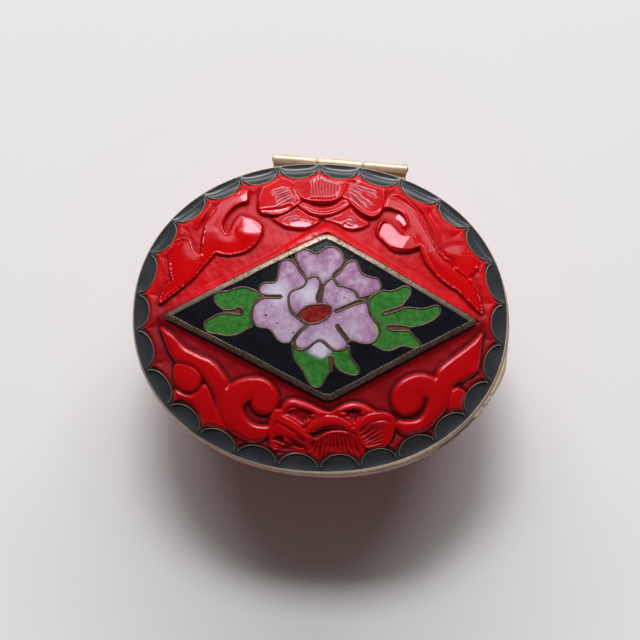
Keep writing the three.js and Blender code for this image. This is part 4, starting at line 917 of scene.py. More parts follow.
def lid_shell():
    prof = [(0.62, EDGE_Z - 0.35), (0.30, EDGE_Z - 0.06), (0.22, EDGE_Z + 0.045), (0.14, EDGE_Z + 0.05), (0.06, EDGE_Z + 0.02),
            (0.0, EDGE_Z - 0.08), (-0.05, EDGE_Z - 0.3), (-0.12, EDGE_Z - 0.62), (-0.17, LID_LOW + 0.35), (-0.2, SEAM + 0.10),
            (-0.19, SEAM + 0.03), (-0.12, SEAM), (0.3, SEAM), (1.0, LID_LOW), (1.6, LID_LOW), (1.72, LID_LOW + 0.05),
            (1.78, LID_LOW + 0.3), (2.0, LID_LOW + 0.55)]
    V, F = ring_surface(prof, LID_A, LID_B)
    x, y = to_row(V[:, 0], V[:, 1], True)
    # the rim widens where the body's own rim stands proud of it
    weight = np.repeat([0, 0, 0, 0.05, 0.35, 0.8, 0.94, 1, 1, 1, 1, 1] + [0] * (len(prof) - 12), len(V) // len(prof))
    t = np.linspace(0, 2 * math.pi, 1440, endpoint=False)
    bx, by = to_row(*oval(BODY_A - 0.02, BODY_B - 0.02, t), False)
    ba, br = np.arctan2(by - LID_C[1], bx - LID_C[0]), np.hypot(bx - LID_C[0], by - LID_C[1])
    order = np.argsort(ba)
    va, vr = np.arctan2(y - LID_C[1], x - LID_C[0]), np.hypot(x - LID_C[0], y - LID_C[1])
    extra = np.clip(np.interp(va, ba[order], br[order], period=2 * math.pi) - vr, 0, 0.8) * weight * sm(4.0, -6.0, y)
    extra = extra * (1 - 0.55 * sm(math.radians(-48), math.radians(-40), va) * sm(math.radians(-3), math.radians(-12), va))
    print("rim flare", extra.max())
    x, y = x + extra * np.cos(va), y + extra * np.sin(va)
    V = cut_notch(np.stack([x, y, V[:, 2]], -1))
    c = np.array([LID_C[0], LID_C[1], EDGE_Z - 0.6])
    F = F[:, ::-1] if ((V[F[0, 0]] - c) * np.cross(V[F[0, 1]] - V[F[0, 0]], V[F[0, 2]] - V[F[0, 0]])).sum() < 0 else F
    o = build("lid_rim", V, F.copy(), "lid", [RIM])
    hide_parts("lid_shell")
    # black enamel lining under the dome
    n, rows = 240, 26
    t = np.linspace(0, 2 * math.pi, n, endpoint=False)
    W = []
    for j in range(rows):
        s = 0.925 * (1 - j / (rows - 1)) + 0.0005
        x, y = LID_A * s * sgnpow(np.cos(t), 2 / POW), LID_B * s * sgnpow(np.sin(t), 2 / POW)
        z = dome(x, y) - 0.85 - 0.9 + (0.012 * lattice(x, y, 1.1, 21))
        if j == 0:
            z = np.full(n, LID_LOW + 0.5)
        xr, yr = to_row(x, y, True)
        W.append(np.stack([xr, yr, z], -1))
    W = np.stack(W, 0).reshape(-1, 3)
    F = faces_out(W, grid_faces(rows, n, False, True), np.array([LID_C[0], LID_C[1], 60.0]))
    build("lid_lining", W, F, "lid", [BLACK])


lid_shell()


# ---- plaque ----------------------------------------------------------------------
def rounded_path(tips, r, out=0.0, n=9, run=26):
    """Lozenge with eased corners, moved out by a distance: points and outward directions."""
    T = np.array(tips, float)
    m = len(T)
    P, N = [], []
    for i in range(m):
        a, b, c = T[i - 1], T[i], T[(i + 1) % m]
        u, v = (a - b) / np.linalg.norm(a - b), (c - b) / np.linalg.norm(c - b)
        p0, p2 = b + u * r, b + v * r
        n0 = np.array([-(b - a)[1], (b - a)[0]]) / np.linalg.norm(b - a)
        n1 = np.array([-(c - b)[1], (c - b)[0]]) / np.linalg.norm(c - b)
        for k in range(n):
            s = k / (n - 1)
            P.append((1 - s) ** 2 * p0 + 2 * s * (1 - s) * b + s * s * p2)
            nn = n0 * (1 - s) + n1 * s
            N.append(nn / np.linalg.norm(nn))
        nxt = c + (b - c) / np.linalg.norm(b - c) * r
        for k in range(1, run):
            s = k / run
            P.append(p2 * (1 - s) + nxt * s)
            N.append(n1)
    P, N = np.array(P), np.array(N)
    if ((P - T.mean(0)) * N).sum() < 0:
        N = -N
    return P + N * out, N


def plaque_frame():
    P, N = rounded_path(TIPS, 1.3)
    prof = [(0.06, -0.35), (0.055, 0.60), (0.03, 0.77), (-0.05, 0.835), (-0.18, 0.872), (-0.40, 0.902), (-0.60, 0.922), (-0.75, 0.934), (-0.80, 0.928), (-0.82, 0.3)]
    wob = 1 + 0.05 * np.sin(np.arange(len(P)) * 0.37) + 0.04 * np.sin(np.arange(len(P)) * 0.91 + 1)
    rows = []
    for off, h in prof:
        q = P + N * (off * (wob[:, None] if off < -0.3 else 1))
        z = dome(q[:, 0], q[:, 1]) + h
        xr, yr = to_row(q[:, 0], q[:, 1], True)
        rows.append(np.stack([xr, yr, z], -1))
    V = np.stack(rows, 0).reshape(-1, 3)
    F = grid_faces(len(prof), len(P), False, True)
    F = faces_out(V, F, np.array([LID_C[0], LID_C[1], EDGE_Z - 40]))
    o = build("plaque_bezel", V, F, "lid", [FRAME_BRASS])
    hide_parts("plaque_frame")


plaque_frame()

PETALS = ["A", "BC", "D", "E", "FGH", "I"]
LEAVES = ["LL1", "LR1", "LB1"]


def plaque_enamel():
    step = 0.104
    gx = np.arange(-22.6, 22.7, step)
    gy = np.arange(-12.9, 11.5, step)
    X, Y = np.meshgrid(gx, gy, indexing="ij")
    inn = sdf(X, Y, TIPS, 3.0)
    keep = inn > 0.70
    x, y, q = X[keep], Y[keep], inn[keep]
    D = {n: sdf(x, y, spline(outline(n)), 2.5) for n in PETALS + LEAVES + ["R"]}
    petal = np.zeros(x.shape)
    for n in PETALS:
        ease = 0.35 if n == "I" else 0.05
        petal = np.maximum(petal, sm(-ease, ease, D[n] + (0.25 * lattice(x, y, 0.6, 35) if n == "I" else 0)))
    leaf = np.zeros(x.shape)
    for n in LEAVES:
        leaf = np.maximum(leaf, sm(-0.05, 0.05, D[n]))
    centre = sm(-0.05, 0.05, D["R"])
    close = sum((np.abs(D[n]) < 0.58).astype(float) for n in ["A", "BC", "D", "E", "FGH", "R"])
    slit = ((close >= 2) & (petal < 0.5) & (centre < 0.5)).astype(float)
    sl = {n: line_dist(x, y, outline(n)) for n in OUTLINES if OUTLINES[n][0] in ("slit", "slitb")}
    for n, (d, s) in sl.items():
        slit = np.maximum(slit, (d < (0.20 if OUTLINES[n][0] == "slit" else 0.24)).astype(float))
    # white hearts and mauve edges of the petals
    cells = {n: D[n] for n in ("A", "BC", "D", "E", "FGH")}
    dist = np.maximum.reduce([cells[n] for n in cells])
    blot = lattice(x, y, 1.5, 31) * 0.6 + lattice(x, y, 0.7, 32) * 0.4
    white = sm(0.0, 0.75, blot) * 0.35 * sm(0.3, 1.2, dist)
    for cx, cy, r, a in ((-6.4, 2.2, 2.0, 0.95), (-1.9, 2.3, 1.7, 0.95), (0.6, -6.0, 2.6, 0.9), (-4.6, -3.6, 2.2, 0.55),
                         (-1.6, -7.6, 1.6, 0.7), (0.9, 5.0, 1.6, 0.35), (5.2, -2.3, 2.0, 0.45), (-8.6, -0.4, 1.3, 0.3), (0.3, -8.3, 1.1, 0.4)):
        white = np.maximum(white, a * np.exp(-(((x - cx) ** 2 + (y - cy) ** 2) / (r * r)) ** 1.1) * (0.82 + 0.18 * blot))
    mauve = np.clip(0.50 * sm(0.8, 0.15, dist) + 0.55 * sm(-0.05, 0.6, -blot), 0, 0.85) * (1 - 0.8 * white)
    speck = np.zeros(x.shape)
    for name_x, name_y, r in ((-7.94, -1.07, 0.14), (-6.2, -2.2, 0.09), (-3.8, -3.5, 0.12), (-7.1, 0.4, 0.07), (2.2, 5.8, 0.08), (3.4, 2.0, 0.09), (1.2, 7.6, 0.07)):
        speck = np.maximum(speck, sm(r + 0.1, r - 0.03, np.hypot(x - name_x, y - name_y)))
    d, s = line_dist(x, y, np.array([[8.0, -2.0], [8.7, -3.3], [8.9, -4.4]]))
    lime = 0.75 * sm(0.55, 0.1, d) * petal
    # surface: ground polished flush with the frame, cells a hair lower
    h = 0.895 + 0.02 * sm(1.3, 0.75, q) + 0.006 * lattice(x, y, 2.2, 33) + 0.003 * lattice(x, y, 0.7, 34)
    cell = np.maximum(petal, np.maximum(leaf, centre))
    h = h - 0.02 * cell - 0.03 * slit
    z = dome(x, y) + h
    xr, yr = to_row(x, y, True)
    idx = -np.ones(X.shape, int)
    idx[keep] = np.arange(keep.sum())
    a, b, c, d4 = idx[:-1, :-1], idx[1:, :-1], idx[1:, 1:], idx[:-1, 1:]
    ok = (a >= 0) & (b >= 0) & (c >= 0) & (d4 >= 0)
    F = np.stack([a[ok], b[ok], c[ok], d4[ok]], -1)
    V = np.stack([xr, yr, z], -1)
    o = build("plaque_enamel_face", V, F, "lid", [PLAQUE], {"petal": petal, "leaf": leaf * (1 - petal), "centre": centre,
              "slit": slit, "white": white, "mauve": mauve, "speck": speck, "lime": lime})
    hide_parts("plaque_enamel")
    print("plaque triangles", 2 * len(F))
    parts = []

    def wire(P, closed, r=0.185, up=0.90):
        zz = dome(P[:, 0], P[:, 1]) + up - 0.035
        xw, yw = to_row(P[:, 0], P[:, 1], True)
        parts.append(sweep(np.stack([xw, yw, zz], -1), r, 6, closed, 0.42))

    for n in ["A", "BC", "D", "E", "FGH", "R"] + LEAVES:
        wire(spline(outline(n), True, 5), True)
    I = spline(outline("I"), True, 5)
    for n in OUTLINES:
        if OUTLINES[n][0] == "slit":
            P = spline(outline(n), False, 5)
            T = np.gradient(P, axis=0)
            T /= np.linalg.norm(T, axis=1)[:, None]
            S = np.stack([-T[:, 1], T[:, 0]], -1)
            # loop round the slit's blind end
            loop = np.vstack([P + S * 0.24, P[-1] + T[-1] * 0.26, (P - S * 0.24)[::-1]])
            wire(loop, False, 0.15)
    V, F = join(parts)
    build("plaque_wires", V, F, "lid", [WIRE])


plaque_enamel()

# ---- body: carved band --------------------------------------------------------------
PROFILE = np.array([[19.5, 0.0], [18.0, 0.0], [16.4, 0.35], [14.0, 1.2], [11.4, 2.45], [8.8, 4.0], [6.6, 5.55], [4.4, 7.1], [2.0, 8.6]])[::-1]


def body_inset(z):
    """How far in from the rim the band's highest face lies, eased between the given heights."""
    zz = np.linspace(1.2, 20.4, 400)
    raw = np.interp(zz, PROFILE[:, 0], PROFILE[:, 1])
    k = np.exp(-0.5 * (np.arange(-24, 25) / 9.0) ** 2)
    k /= k.sum()
    pad = np.concatenate([raw[0] + (raw[0] - raw[1]) * np.arange(24, 0, -1), raw, np.full(24, raw[-1])])
    return np.maximum(np.interp(z, zz, np.convolve(pad, k, "valid")), 0.02)


SIDE = {
    "petal": ("-2.3,15.6 -3.1,13.4 -2.7,11.2 -1.4,9.6 0,9.0 1.4,9.6 2.7,11.2 3.1,13.4 2.3,15.6", 0.63, 0.34, 0.06),
    "wing_a": ("-2.8,15.5 -3.5,13.0 -3.1,10.9 -1.9,9.2 -3.6,8.7 -5.2,9.6 -6.0,11.6 -6.0,13.8 -5.0,15.6", 0.63, 0.4, 0.06),
    "wing_b": ("2.8,15.5 5.0,15.6 6.0,13.8 6.0,11.6 5.2,9.6 3.6,8.7 1.9,9.2 3.1,10.9 3.5,13.0", 0.63, 0.4, 0.06),
    "cup": ("-3.6,8.4 -1.9,8.8 0,8.5 1.9,8.8 3.6,8.4 2.6,7.2 0.9,6.5 -0.9,6.5 -2.6,7.2", 0.5, 0.34, 0.1),
    "scroll_a": ("-0.5,5.7 -1.7,6.2 -3.0,6.3 -4.2,6.9 -5.4,8.0 -6.6,7.9 -7.1,6.8 -6.8,5.4 -5.8,4.4 -4.8,4.6 -4.6,5.6 -5.3,6.1 -5.7,5.7 -5.9,6.4 -5.1,6.7 -4.2,5.9 -4.0,4.7 -4.6,3.6 -3.4,3.0 -2.0,3.2 -0.9,4.0 -0.4,4.9", 0.56, 0.34, 0.12),
    "scroll_b": ("0.5,5.7 0.4,4.9 0.9,4.0 2.0,3.2 3.4,3.0 4.6,3.6 4.0,4.7 4.2,5.9 5.1,6.7 5.9,6.4 5.7,5.7 5.3,6.1 4.6,5.6 4.8,4.6 5.8,4.4 6.8,5.4 7.1,6.8 6.6,7.9 5.4,8.0 4.2,6.9 3.0,6.3 1.7,6.2", 0.56, 0.34, 0.12),
    "bud": ("0,3.0 1.2,2.2 1.6,1.2 0,0.3 -1.6,1.2 -1.2,2.2", 0.5, 0.34, 0.12),
    "leaf": ("7.36,15.4 6.6,14.0 6.35,12.2 6.7,10.4 7.36,9.0 8.0,10.4 8.4,12.2 8.1,14.0", 0.52, 0.34, 0.1),
    "drop": ("7.36,4.4 8.2,3.2 8.3,1.6 7.36,0.4 6.4,1.6 6.5,3.2", 0.5, 0.34, 0.12),
}
UNITS, UNIT_AT = 11, math.radians(-77.5)


def body_lacquer():
    n, rows = 880, 84
    t = np.linspace(0, 2 * math.pi, n, endpoint=False)
    cusps = np.arange(26) * (2 * math.pi / 26)
    _, f = cell_of(t, cusps)
    low = LACQUER_MID - 0.9 + 1.8 * bulge(f) + 0.05
    R = np.concatenate([[0], np.linspace(0.004, 1, rows - 1)])
    TT, RR = np.meshgrid(t, R, indexing="xy")
    LOW = np.broadcast_to(low, TT.shape)
    Z = LOW + (LACQUER_TOP - LOW) * RR
    turn = ((TT - UNIT_AT) * UNITS / (2 * math.pi) + 0.5) % 1 - 0.5
    U = turn * 14.72
    Vv = (Z - 4.4) / (LACQUER_TOP - 4.4) * 15.6
    lean = 0.25 * np.sin(Vv * 0.4)
    h = 0.05 + 0.03 * lattice(TT * 22, Z, 1.1, 41) + 0.02 * lattice(TT * 22 * 2.4, Z * 0.9, 1.0, 42)
    raised = np.zeros(U.shape)
    recess_shade = np.zeros(U.shape)
    for name, (pts, H, wall, rise) in SIDE.items():
        P = spline([[float(v) for v in p.split(",")] for p in pts.split()], True, 5)
        for shift in (-14.72, 0, 14.72):
            d = sdf(U + shift, Vv, P, 1.4)
            if d.max() <= -1.39:
                continue
            p = sm(-0.05, wall, d)
            fh = 0.05 + (H - rise - 0.05) * p + rise * sm(0.1, 1.8, d)
            h = np.maximum(h, np.where(d > -0.05, fh, -1))
            raised = np.maximum(raised, sm(0, 0.3, d))
            recess_shade = np.maximum(recess_shade, np.exp(-((np.minimum(d, 0) + 0.05) / 0.4) ** 2) * (d < 0.02) * (d > -1.3))
            if name in ("petal", "wing_a", "wing_b"):
                cx = 0 if name == "petal" else (-2.0 if name == "wing_a" else 2.0)
                fan = focus_lines(U + shift, Vv, cx, 5.5, 46) ** 1.5
                h = h - 0.09 * sm(0.5, 0.9, d) * fan
                raised = raised * (1 - 0.3 * sm(0.5, 0.9, d))
    h = np.clip(h, 0.0, 0.6)
    # the carving runs out at the band's lower edge
    h = np.where(RR < 0.03, np.minimum(h, 0.30), h)
    d = body_inset(Z) + 0.6 - h
    d = np.where(RR == 0, d + 0.45, d)
    d = np.where(RR > 0.999, d + 0.2, d)
    x, y = (BODY_A - d) * sgnpow(np.cos(TT), 2 / POW), (BODY_B - d) * sgnpow(np.sin(TT), 2 / POW)
    xr, yr = to_row(x, y, False)
    V = np.stack([xr, yr, Z], -1).reshape(-1, 3)
    F = faces_out(V, grid_faces(rows, n, False, True), np.array([BODY_C[0], BODY_C[1], 14.0]))
    # painted shade in the recesses beside the raised carving
    cut = np.clip(recess_shade * (1 - raised) * 0.6, 0, 1)
    o = build("body_lacquer_skin", V, F, "body", [RED], {"raised": raised, "cut": cut})
    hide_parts("body_lacquer")
    print("body lacquer triangles", 2 * len(F))


body_lacquer()


def body_border():
    n, rows = 26 * 30, 12
    t = np.linspace(0, 2 * math.pi, n, endpoint=False)
    cusps = np.arange(26) * (2 * math.pi / 26)
    _, f = cell_of(t, cusps)
    top = LACQUER_MID - 0.9 + 1.8 * bulge(f) + 0.05
    V = []
    for j in range(rows):
        s = j / (rows - 1)
        z = 1.75 + (top - 1.75) * s
        across = np.clip(1 - np.abs(2 * f - 1) ** 2, 0, 1)
        d = body_inset(z) + 0.03 + 0.16 * np.sin(math.pi * s) * (0.3 + 0.7 * across)
        if j == 0:
            d = d + 0.8
        if j == rows - 1:
            d = d + 0.3
        x, y = oval(BODY_A - d, BODY_B - d, t)
        xr, yr = to_row(x, y, False)
        V.append(np.stack([xr, yr, z if np.ndim(z) else np.full(n, z)], -1))
    V = np.stack(V, 0).reshape(-1, 3)
    F = faces_out(V, grid_faces(rows, n, False, True), np.array([BODY_C[0], BODY_C[1], 10.0]))
    o = build("body_border_enamel", V, F, "body", [BLACK])
    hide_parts("body_border")
    parts = []
    for i in range(26):
        ff = 0.5 - 0.5 * np.cos(np.linspace(0, 1, 26) * math.pi)
        tt = cusps[i] + (2 * math.pi / 26) * (0.03 + 0.94 * ff)
        z = LACQUER_MID - 1.0 + 1.85 * bulge(ff)
        d = body_inset(z) + 0.10
        x, y = oval(BODY_A - d, BODY_B - d, tt)
        xr, yr = to_row(x, y, False)
        parts.append(sweep(np.stack([xr, yr, z], -1), 0.12, 6, False))
    V, F = join(parts)
    build("body_border_wires", V, F, "body", [BORDER_WIRE])


body_border()


def body_shell():
    z0 = TOP_Z
    prof = [(1.5, z0 - 1.5), (0.25, z0 - 1.32), (0.08, z0 - 1.24), (0.03, z0 - 1.12), (0.03, z0 - 0.7), (0.0, z0 - 0.28), (0.01, z0 - 0.15), (0.05, z0 - 0.05),
            (0.14, z0), (0.5, z0), (1.2, z0), (2.15, z0), (2.26, z0 - 0.04), (2.3, z0 - 0.2)]
    V, F = ring_surface(prof, BODY_A, BODY_B)
    x, y = to_row(V[:, 0], V[:, 1], False)
    V = cut_notch(np.stack([x, y, V[:, 2]], -1))
    F = ring_out(V, F, z0 - 0.8, BODY_C)
    o = build("body_rim", V, F, "body", [RIM])
    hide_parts("body_shell")
    # enamelled inside
    si = [(2.28, z0 - 0.15)] + [(float(body_inset(z)) + 2.3, z) for z in np.linspace(z0 - 1.4, 4.2, 26)]
    si[1] = (2.32, z0 - 1.0)
    si = [p for i, p in enumerate(si) if i == 0 or p[0] >= si[i - 1][0] - 0.02]
    last = si[-1]
    si += [(9.9, 3.3), (10.7, 2.72), (11.8, 2.42), (13.2, FLOOR_Z + 0.02), (16, FLOOR_Z), (19, FLOOR_Z), (22, FLOOR_Z), (23.4, FLOOR_Z)]
    V, F = ring_surface(si, BODY_A, BODY_B, 360)
    x, y = to_row(V[:, 0], V[:, 1], False)
    V = np.stack([x, y, V[:, 2]], -1)
    F = ring_out(V, F, 12.0, BODY_C)[:, ::-1].copy()
    V, F2 = cap(V, F, len(si), 360)
    build("body_lining", V, F2, "body", [BLACK])
    # foot ring and enamelled underside
    ft = [(8.9, FOOT_H + 0.75), (8.75, FOOT_H + 0.25), (8.60, FOOT_H - 0.1), (8.5, 0.9), (8.42, 0.35), (8.42, 0.14), (8.5, 0.03), (8.62, 0.0), (9.1, 0.0),
          (9.6, 0.0), (9.76, 0.03), (9.85, 0.14), (9.88, 0.5), (10.0, 0.95)]
    V, F = ring_surface(ft, BODY_A, BODY_B, 480)
    x, y = to_row(V[:, 0], V[:, 1], False)
    V = np.stack([x, y, V[:, 2]], -1)
    F = ring_out(V, F, 0.9, BODY_C)
    build("foot_ring", V, F, "body", [RIM])
    un = [(9.9, 0.86), (10.6, 0.9), (12, 0.93), (14, 0.95), (17, 0.96), (20, 0.96), (23.4, 0.96)]
    V, F = ring_surface(un, BODY_A, BODY_B, 360)
    x, y = to_row(V[:, 0], V[:, 1], False)
    V = np.stack([x, y, V[:, 2] + 0.015 * lattice(x, y, 1.3, 51)], -1)
    F = ring_out(V, F, 0.4, BODY_C)
    V, F2 = cap(V, F, len(un), 360)
    n0 = np.cross(V[F2[0][1]] - V[F2[0][0]], V[F2[0][2]] - V[F2[0][0]])
    if n0[2] > 0:
        F2 = [list(reversed(q)) for q in F2]
    build("underside_enamel", V, F2, "body", [BLACK])


def ring_out(V, F, z, c):
    """Turns the quads of a ring so that they face away from its own core line."""
    P = V[F].mean(1)
    n = np.cross(V[F[:, 1]] - V[F[:, 0]], V[F[:, 2]] - V[F[:, 0]])
    # core: the mean distance from the middle, at the given height
    r = np.hypot(P[:, 0] - c[0], P[:, 1] - c[1])
    core = np.hypot(V[:, 0] - c[0], V[:, 1] - c[1]).mean() / r
    Q = np.stack([c[0] + (P[:, 0] - c[0]) * core, c[1] + (P[:, 1] - c[1]) * core, np.full(len(P), z)], -1)
    if (n * (P - Q)).sum() < 0:
        return F[:, ::-1].copy()
    return F


def cap(V, F, rows, n):
    """Closes the innermost ring with a fan."""
    ring = np.arange((rows - 1) * n, rows * n)
    V2 = np.vstack([V, V[ring].mean(0)[None]])
    L = [list(map(int, f)) for f in F]
    # the fan's faces run as the quads beside it do
    q = F[-1]
    a, b = ring[0], ring[1]
    fwd = False
    for f in F[(rows - 2) * n:(rows - 2) * n + 1]:
        f = list(f)
        ia = f.index(a) if a in f else -1
        if ia >= 0 and f[(ia + 1) % 4] == b:
            fwd = True
    for i in range(n):
        p, r = int(ring[i]), int(ring[(i + 1) % n])
        L.append([r, p, len(V)] if fwd else [p, r, len(V)])
    return V2, L


body_shell()


# ---- hinge -------------------------------------------------------------------------
def tube(x0, x1, r, bore, name, body, mat, replaces, seam=0.0, foot=None, ease=0.09):
    n = 64
    prof = [(x0 + 0.02, bore), (x0, bore + 0.03), (x0, r - ease), (x0 + ease * 0.4, r - ease * 0.35), (x0 + ease * 1.3, r), ((x0 + x1) / 2, r),
            (x1 - ease * 1.3, r), (x1 - ease * 0.4, r - ease * 0.35), (x1, r - ease), (x1, bore + 0.03), (x1 - 0.02, bore)]
    xs = [p[0] for p in prof]
    fine = []
    for i, (px_, pr) in enumerate(prof):
        if i == 5:
            for k in range(24):
                s = (k + 0.5) / 24
                fine.append((prof[4][0] + (prof[6][0] - prof[4][0]) * s, pr))
        else:
            fine.append((px_, pr))
    a = np.linspace(0, 2 * math.pi, n, endpoint=False)
    V = []
    for px_, pr in fine:
        rr = np.full(n, pr)
        if pr > bore + 0.1:
            wave = 0.010 * np.sin(px_ * 1.1 + a * 2)
            rr = rr + (wave - 0.03) * (pr > r - 0.02)
            # the rolled strip's closing line
            da = np.abs((a - seam + math.pi) % (2 * math.pi) - math.pi)
            rr = rr - 0.07 * np.exp(-(da / 0.09) ** 2)
        V.append(np.stack([np.full(n, px_), HINGE[1] + rr * np.cos(a), HINGE[2] + rr * np.sin(a)], -1))
    V = np.stack(V, 0).reshape(-1, 3)
    F = faces_out(V, grid_faces(len(fine), n, False, True), np.array([(x0 + x1) / 2, HINGE[1], HINGE[2]]))
    F = [list(map(int, f)) for f in F]
    parts = [(V, F)]
    if foot:
        parts.append(foot)
    V, F = join(parts)
    o = build(name, V, F, body, [mat])
    if replaces:
        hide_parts(replaces)
    return o


def solder_foot(x0, x1):
    """Filleted strip that ties an outer knuckle to the body's rim."""
    n = 30
    xs = np.linspace(x0 + 0.12, x1 - 0.12, n)
    V = []
    for i, x in enumerate(xs):
        e = 0.05 * math.sin(i * 1.3) + 0.03 * math.sin(i * 2.9 + 1)
        out = 0.10 * math.sin(math.pi * i / (n - 1)) ** 0.4
        yb = rim_back(x) + 0.02
        V += [[x, yb, HINGE[2] - 0.32], [x, HINGE[1] + 0.15, HINGE[2] - 0.45 - e * 0.3], [x, HINGE[1] + 0.1, HINGE[2] - 0.72],
              [x, (yb + HINGE[1]) / 2, HINGE[2] - 0.74 - out * 0.2], [x, yb, HINGE[2] - 0.82 - out]]
    V = np.array(V)
    F = grid_faces(n, 5, False, True)
    F = faces_out(V, F, V.mean(0))
    F = [list(map(int, f)) for f in F] + [[4, 3, 2, 1, 0], [5 * (n - 1) + k for k in range(5)]]
    return V, F


def rim_back(x):
    """Depth of the body rim's back edge at a place along the hinge."""
    s = np.clip(np.abs((x - BODY_C[0]) / (BODY_A - 0.02)), 0, 1) ** POW
    return BODY_C[1] + (BODY_B - 0.02) * (1 - s) ** (1 / POW)


for cad, name, body, seam in (("body_knuckle_left", "hinge_knuckle_left", "body", -1.9), ("lid_knuckle", "hinge_knuckle_middle", "lid", -2.4),
                              ("body_knuckle_right", "hinge_knuckle_right", "body", -1.9)):
    lo, hi = mm_box(cad)
    foot = solder_foot(lo[0], hi[0]) if body == "body" else None
    tube(lo[0], hi[0], 0.775, 0.47, name, body, HINGE_BRASS, cad, seam, foot)


def hinge_pin():
    lo, hi = mm_box("hinge_pin")
    n = 32
    prof = [(lo[0], 0.001), (lo[0], 0.26), (lo[0] + 0.08, 0.36), (lo[0] + 0.2, 0.375)] + \
           [(lo[0] + (hi[0] - lo[0]) * s, 0.375) for s in np.linspace(0.05, 0.95, 10)] + \
           [(hi[0] - 0.2, 0.375), (hi[0] - 0.08, 0.36), (hi[0], 0.26), (hi[0], 0.001)]
    a = np.linspace(0, 2 * math.pi, n, endpoint=False)
    V = np.stack([np.stack([np.full(n, px_), HINGE[1] + r * np.cos(a), HINGE[2] + r * np.sin(a)], -1) for px_, r in prof], 0).reshape(-1, 3)
    F = faces_out(V, grid_faces(len(prof), n, False, True), V.mean(0))
    o = build("hinge_pin_rod", V, F, "body", [RIM])
    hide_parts("hinge_pin")


hinge_pin()


# ---- thumb piece ---------------------------------------------------------------------
def thumb_piece():
    n = 150
    f = np.linspace(0, 1, n)
    base = 0.12 + 0.40 * sm(0, 0.34, f) - 0.06 * sm(0.45, 0.62, f)
    gap = 0.30 * np.exp(-((f - 0.655) / 0.020) ** 2) + 0.34 * np.exp(-((f - 0.815) / 0.024) ** 2) + 0.12 * np.exp(-((f - 0.735) / 0.012) ** 2) \
        + 0.12 * np.exp(-((f - 0.90) / 0.012) ** 2)
    stand = np.maximum(base - gap, 0.07) * sm(1.0, 0.975, f) ** 0.5 * 0.97 + 0.02
    t = np.radians(-8 + (-36 + 8) * f)
    prof = [(0.0, 0.0), (0.55, 0.0), (0.9, 0.06), (1.0, 0.25), (1.0, 0.6), (0.9, 0.85), (0.55, 0.95), (0.0, 0.97)]
    V = []
    z0 = LID_LOW + 0.12
    for k, (o_, zz) in enumerate(prof):
        out = 0.12 + (0.16 + 1.3 * stand) * o_
        x, y = oval(LID_A + out, LID_B + out, t)
        xr, yr = to_row(x, y, True)
        V.append(np.stack([xr, yr, np.full(n, z0 + zz * 0.86)], -1))
    V = np.stack(V, 1).reshape(-1, 3)
    F = grid_faces(n, len(prof), False, False)
    mid = V.reshape(n, len(prof), 3).mean((0, 1))
    c = np.array([LID_C[0], LID_C[1], mid[2]])
    nn = np.cross(V[F[:, 1]] - V[F[:, 0]], V[F[:, 2]] - V[F[:, 0]])
    if (nn * (V[F[:, 0]] - c)).sum() < 0:
        F = F[:, ::-1]
    F = [list(map(int, q)) for q in F]
    m = len(prof)
    F.append(list(range(m)))
    F.append([(n - 1) * m + k for k in range(m)][::-1])
    o = build("thumb_piece_fluted", V, F, "lid", [HINGE_BRASS])
    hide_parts("thumb_piece")


thumb_piece()


# ---- stage: floor, light, camera -----------------------------------------------------
me = bpy.data.meshes.new("floor")
S = 2.5
me.from_pydata([(-S, -S, 0), (S, -S, 0), (S, S, 0), (-S, S, 0)], [], [(0, 1, 2, 3)])
me.materials.append(floor_material("floor_card"))
floor = bpy.data.objects.new("floor", me)
bpy.context.scene.collection.objects.link(floor)

TILT = math.radians(11.0)
VIEW_TURN = math.radians(4.84)
DIST = 270.0
ex = np.array([math.cos(VIEW_TURN), math.sin(VIEW_TURN), 0])
ey = np.array([-math.sin(VIEW_TURN), math.cos(VIEW_TURN), 0])
ez = np.array([0, 0, 1.0])
target = np.array([LID_C[0], LID_C[1], EDGE_Z]) - (0.05 * ex + 0.69 * ey)
eye = target + DIST * (-math.sin(TILT) * ey + math.cos(TILT) * ez)
cam = bpy.data.cameras.new("camera")
cam.sensor_width = 36.0
cam.lens = 36.0 * DIST / (640 / 6.75)
cam.clip_start = 0.01
cam.clip_end = 10
camera = bpy.data.objects.new("camera", cam)
bpy.context.scene.collection.objects.link(camera)
camera.location = Vector((eye * MM).tolist())
fwd = (target - eye) / np.linalg.norm(target - eye)
up = math.cos(TILT) * ey + math.sin(TILT) * ez
right = np.cross(fwd, up)
from mathutils import Matrix
R = Matrix(((right[0], up[0], -fwd[0]), (right[1], up[1], -fwd[1]), (right[2], up[2], -fwd[2])))
camera.rotation_euler = R.to_euler()
bpy.context.scene.camera = camera


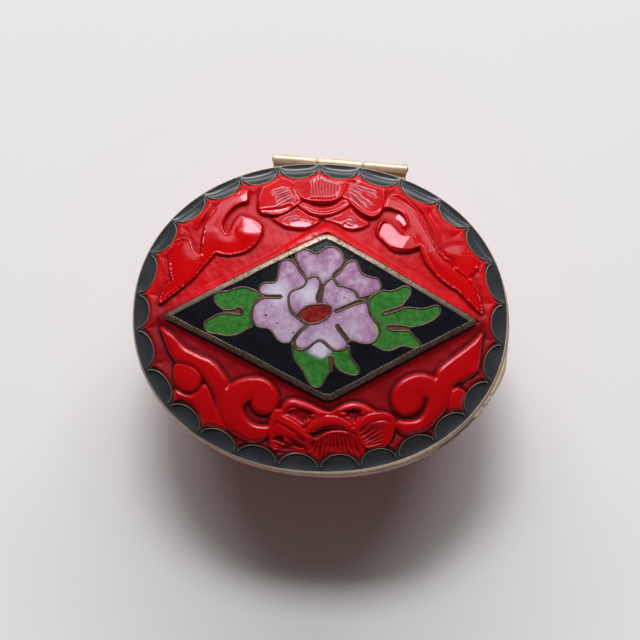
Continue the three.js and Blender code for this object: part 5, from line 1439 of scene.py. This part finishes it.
def area(name, direction, dist, w, h, power, colour):
    L = bpy.data.lights.new(name, "AREA")
    L.shape = "RECTANGLE"
    L.size, L.size_y = w * MM, h * MM
    L.energy = power
    L.color = colour
    o = bpy.data.objects.new(name, L)
    bpy.context.scene.collection.objects.link(o)
    d = direction / np.linalg.norm(direction)
    o.location = Vector(((target + d * dist) * MM).tolist())
    o.rotation_euler = Vector((-d).tolist()).to_track_quat("-Z", "Y").to_euler()
    return o


def toward(height, side):
    """Direction of a light from its height above the floor and its angle aside of the back, in degrees."""
    el, az = math.radians(height), math.radians(side)
    return math.cos(el) * (math.cos(az) * ey + math.sin(az) * ex) + math.sin(el) * ez


area("key_window", toward(55, 2), 1500, 1640, 280, 6.1, (0.985, 0.99, 1.0))
area("key_core", toward(53, -3), 1500, 514, 278, 11.1, (0.985, 0.985, 1.0))
area("low_window", toward(32, 2), 1500, 1900, 250, 16.4, (0.985, 0.99, 1.0))
area("front_fill", -1.2 * ey + 0.3 * ex + 0.9 * ez, 800, 500, 300, 0.12, (0.95, 0.97, 1.0))
world = bpy.data.worlds.new("studio")
bpy.context.scene.world = world
world.use_nodes = True
world.node_tree.nodes["Background"].inputs[0].default_value = (1.0, 0.84, 0.74, 1)
world.node_tree.nodes["Background"].inputs[1].default_value = 0.075
bpy.context.scene.view_settings.view_transform = "Standard"

# ---- sizes ----------------------------------------------------------------------------
bpy.context.view_layer.update()
lo = np.full(3, 1e9)
hi = -lo
for ob in bpy.context.scene.objects:
    if ob.type == "MESH" and ob.name != "floor" and not ob.hide_render:
        co = np.array([ob.matrix_world @ v.co for v in ob.data.vertices]) if len(ob.data.vertices) < 60000 else None
        if co is None:
            arr = np.zeros(len(ob.data.vertices) * 3, np.float32)
            ob.data.vertices.foreach_get("co", arr)
            co = arr.reshape(-1, 3)
        lo, hi = np.minimum(lo, co.min(0)), np.maximum(hi, co.max(0))
print("cad", [list(map(float, cad_lo)), list(map(float, cad_hi))], "visual", lo.tolist(), hi.tolist())
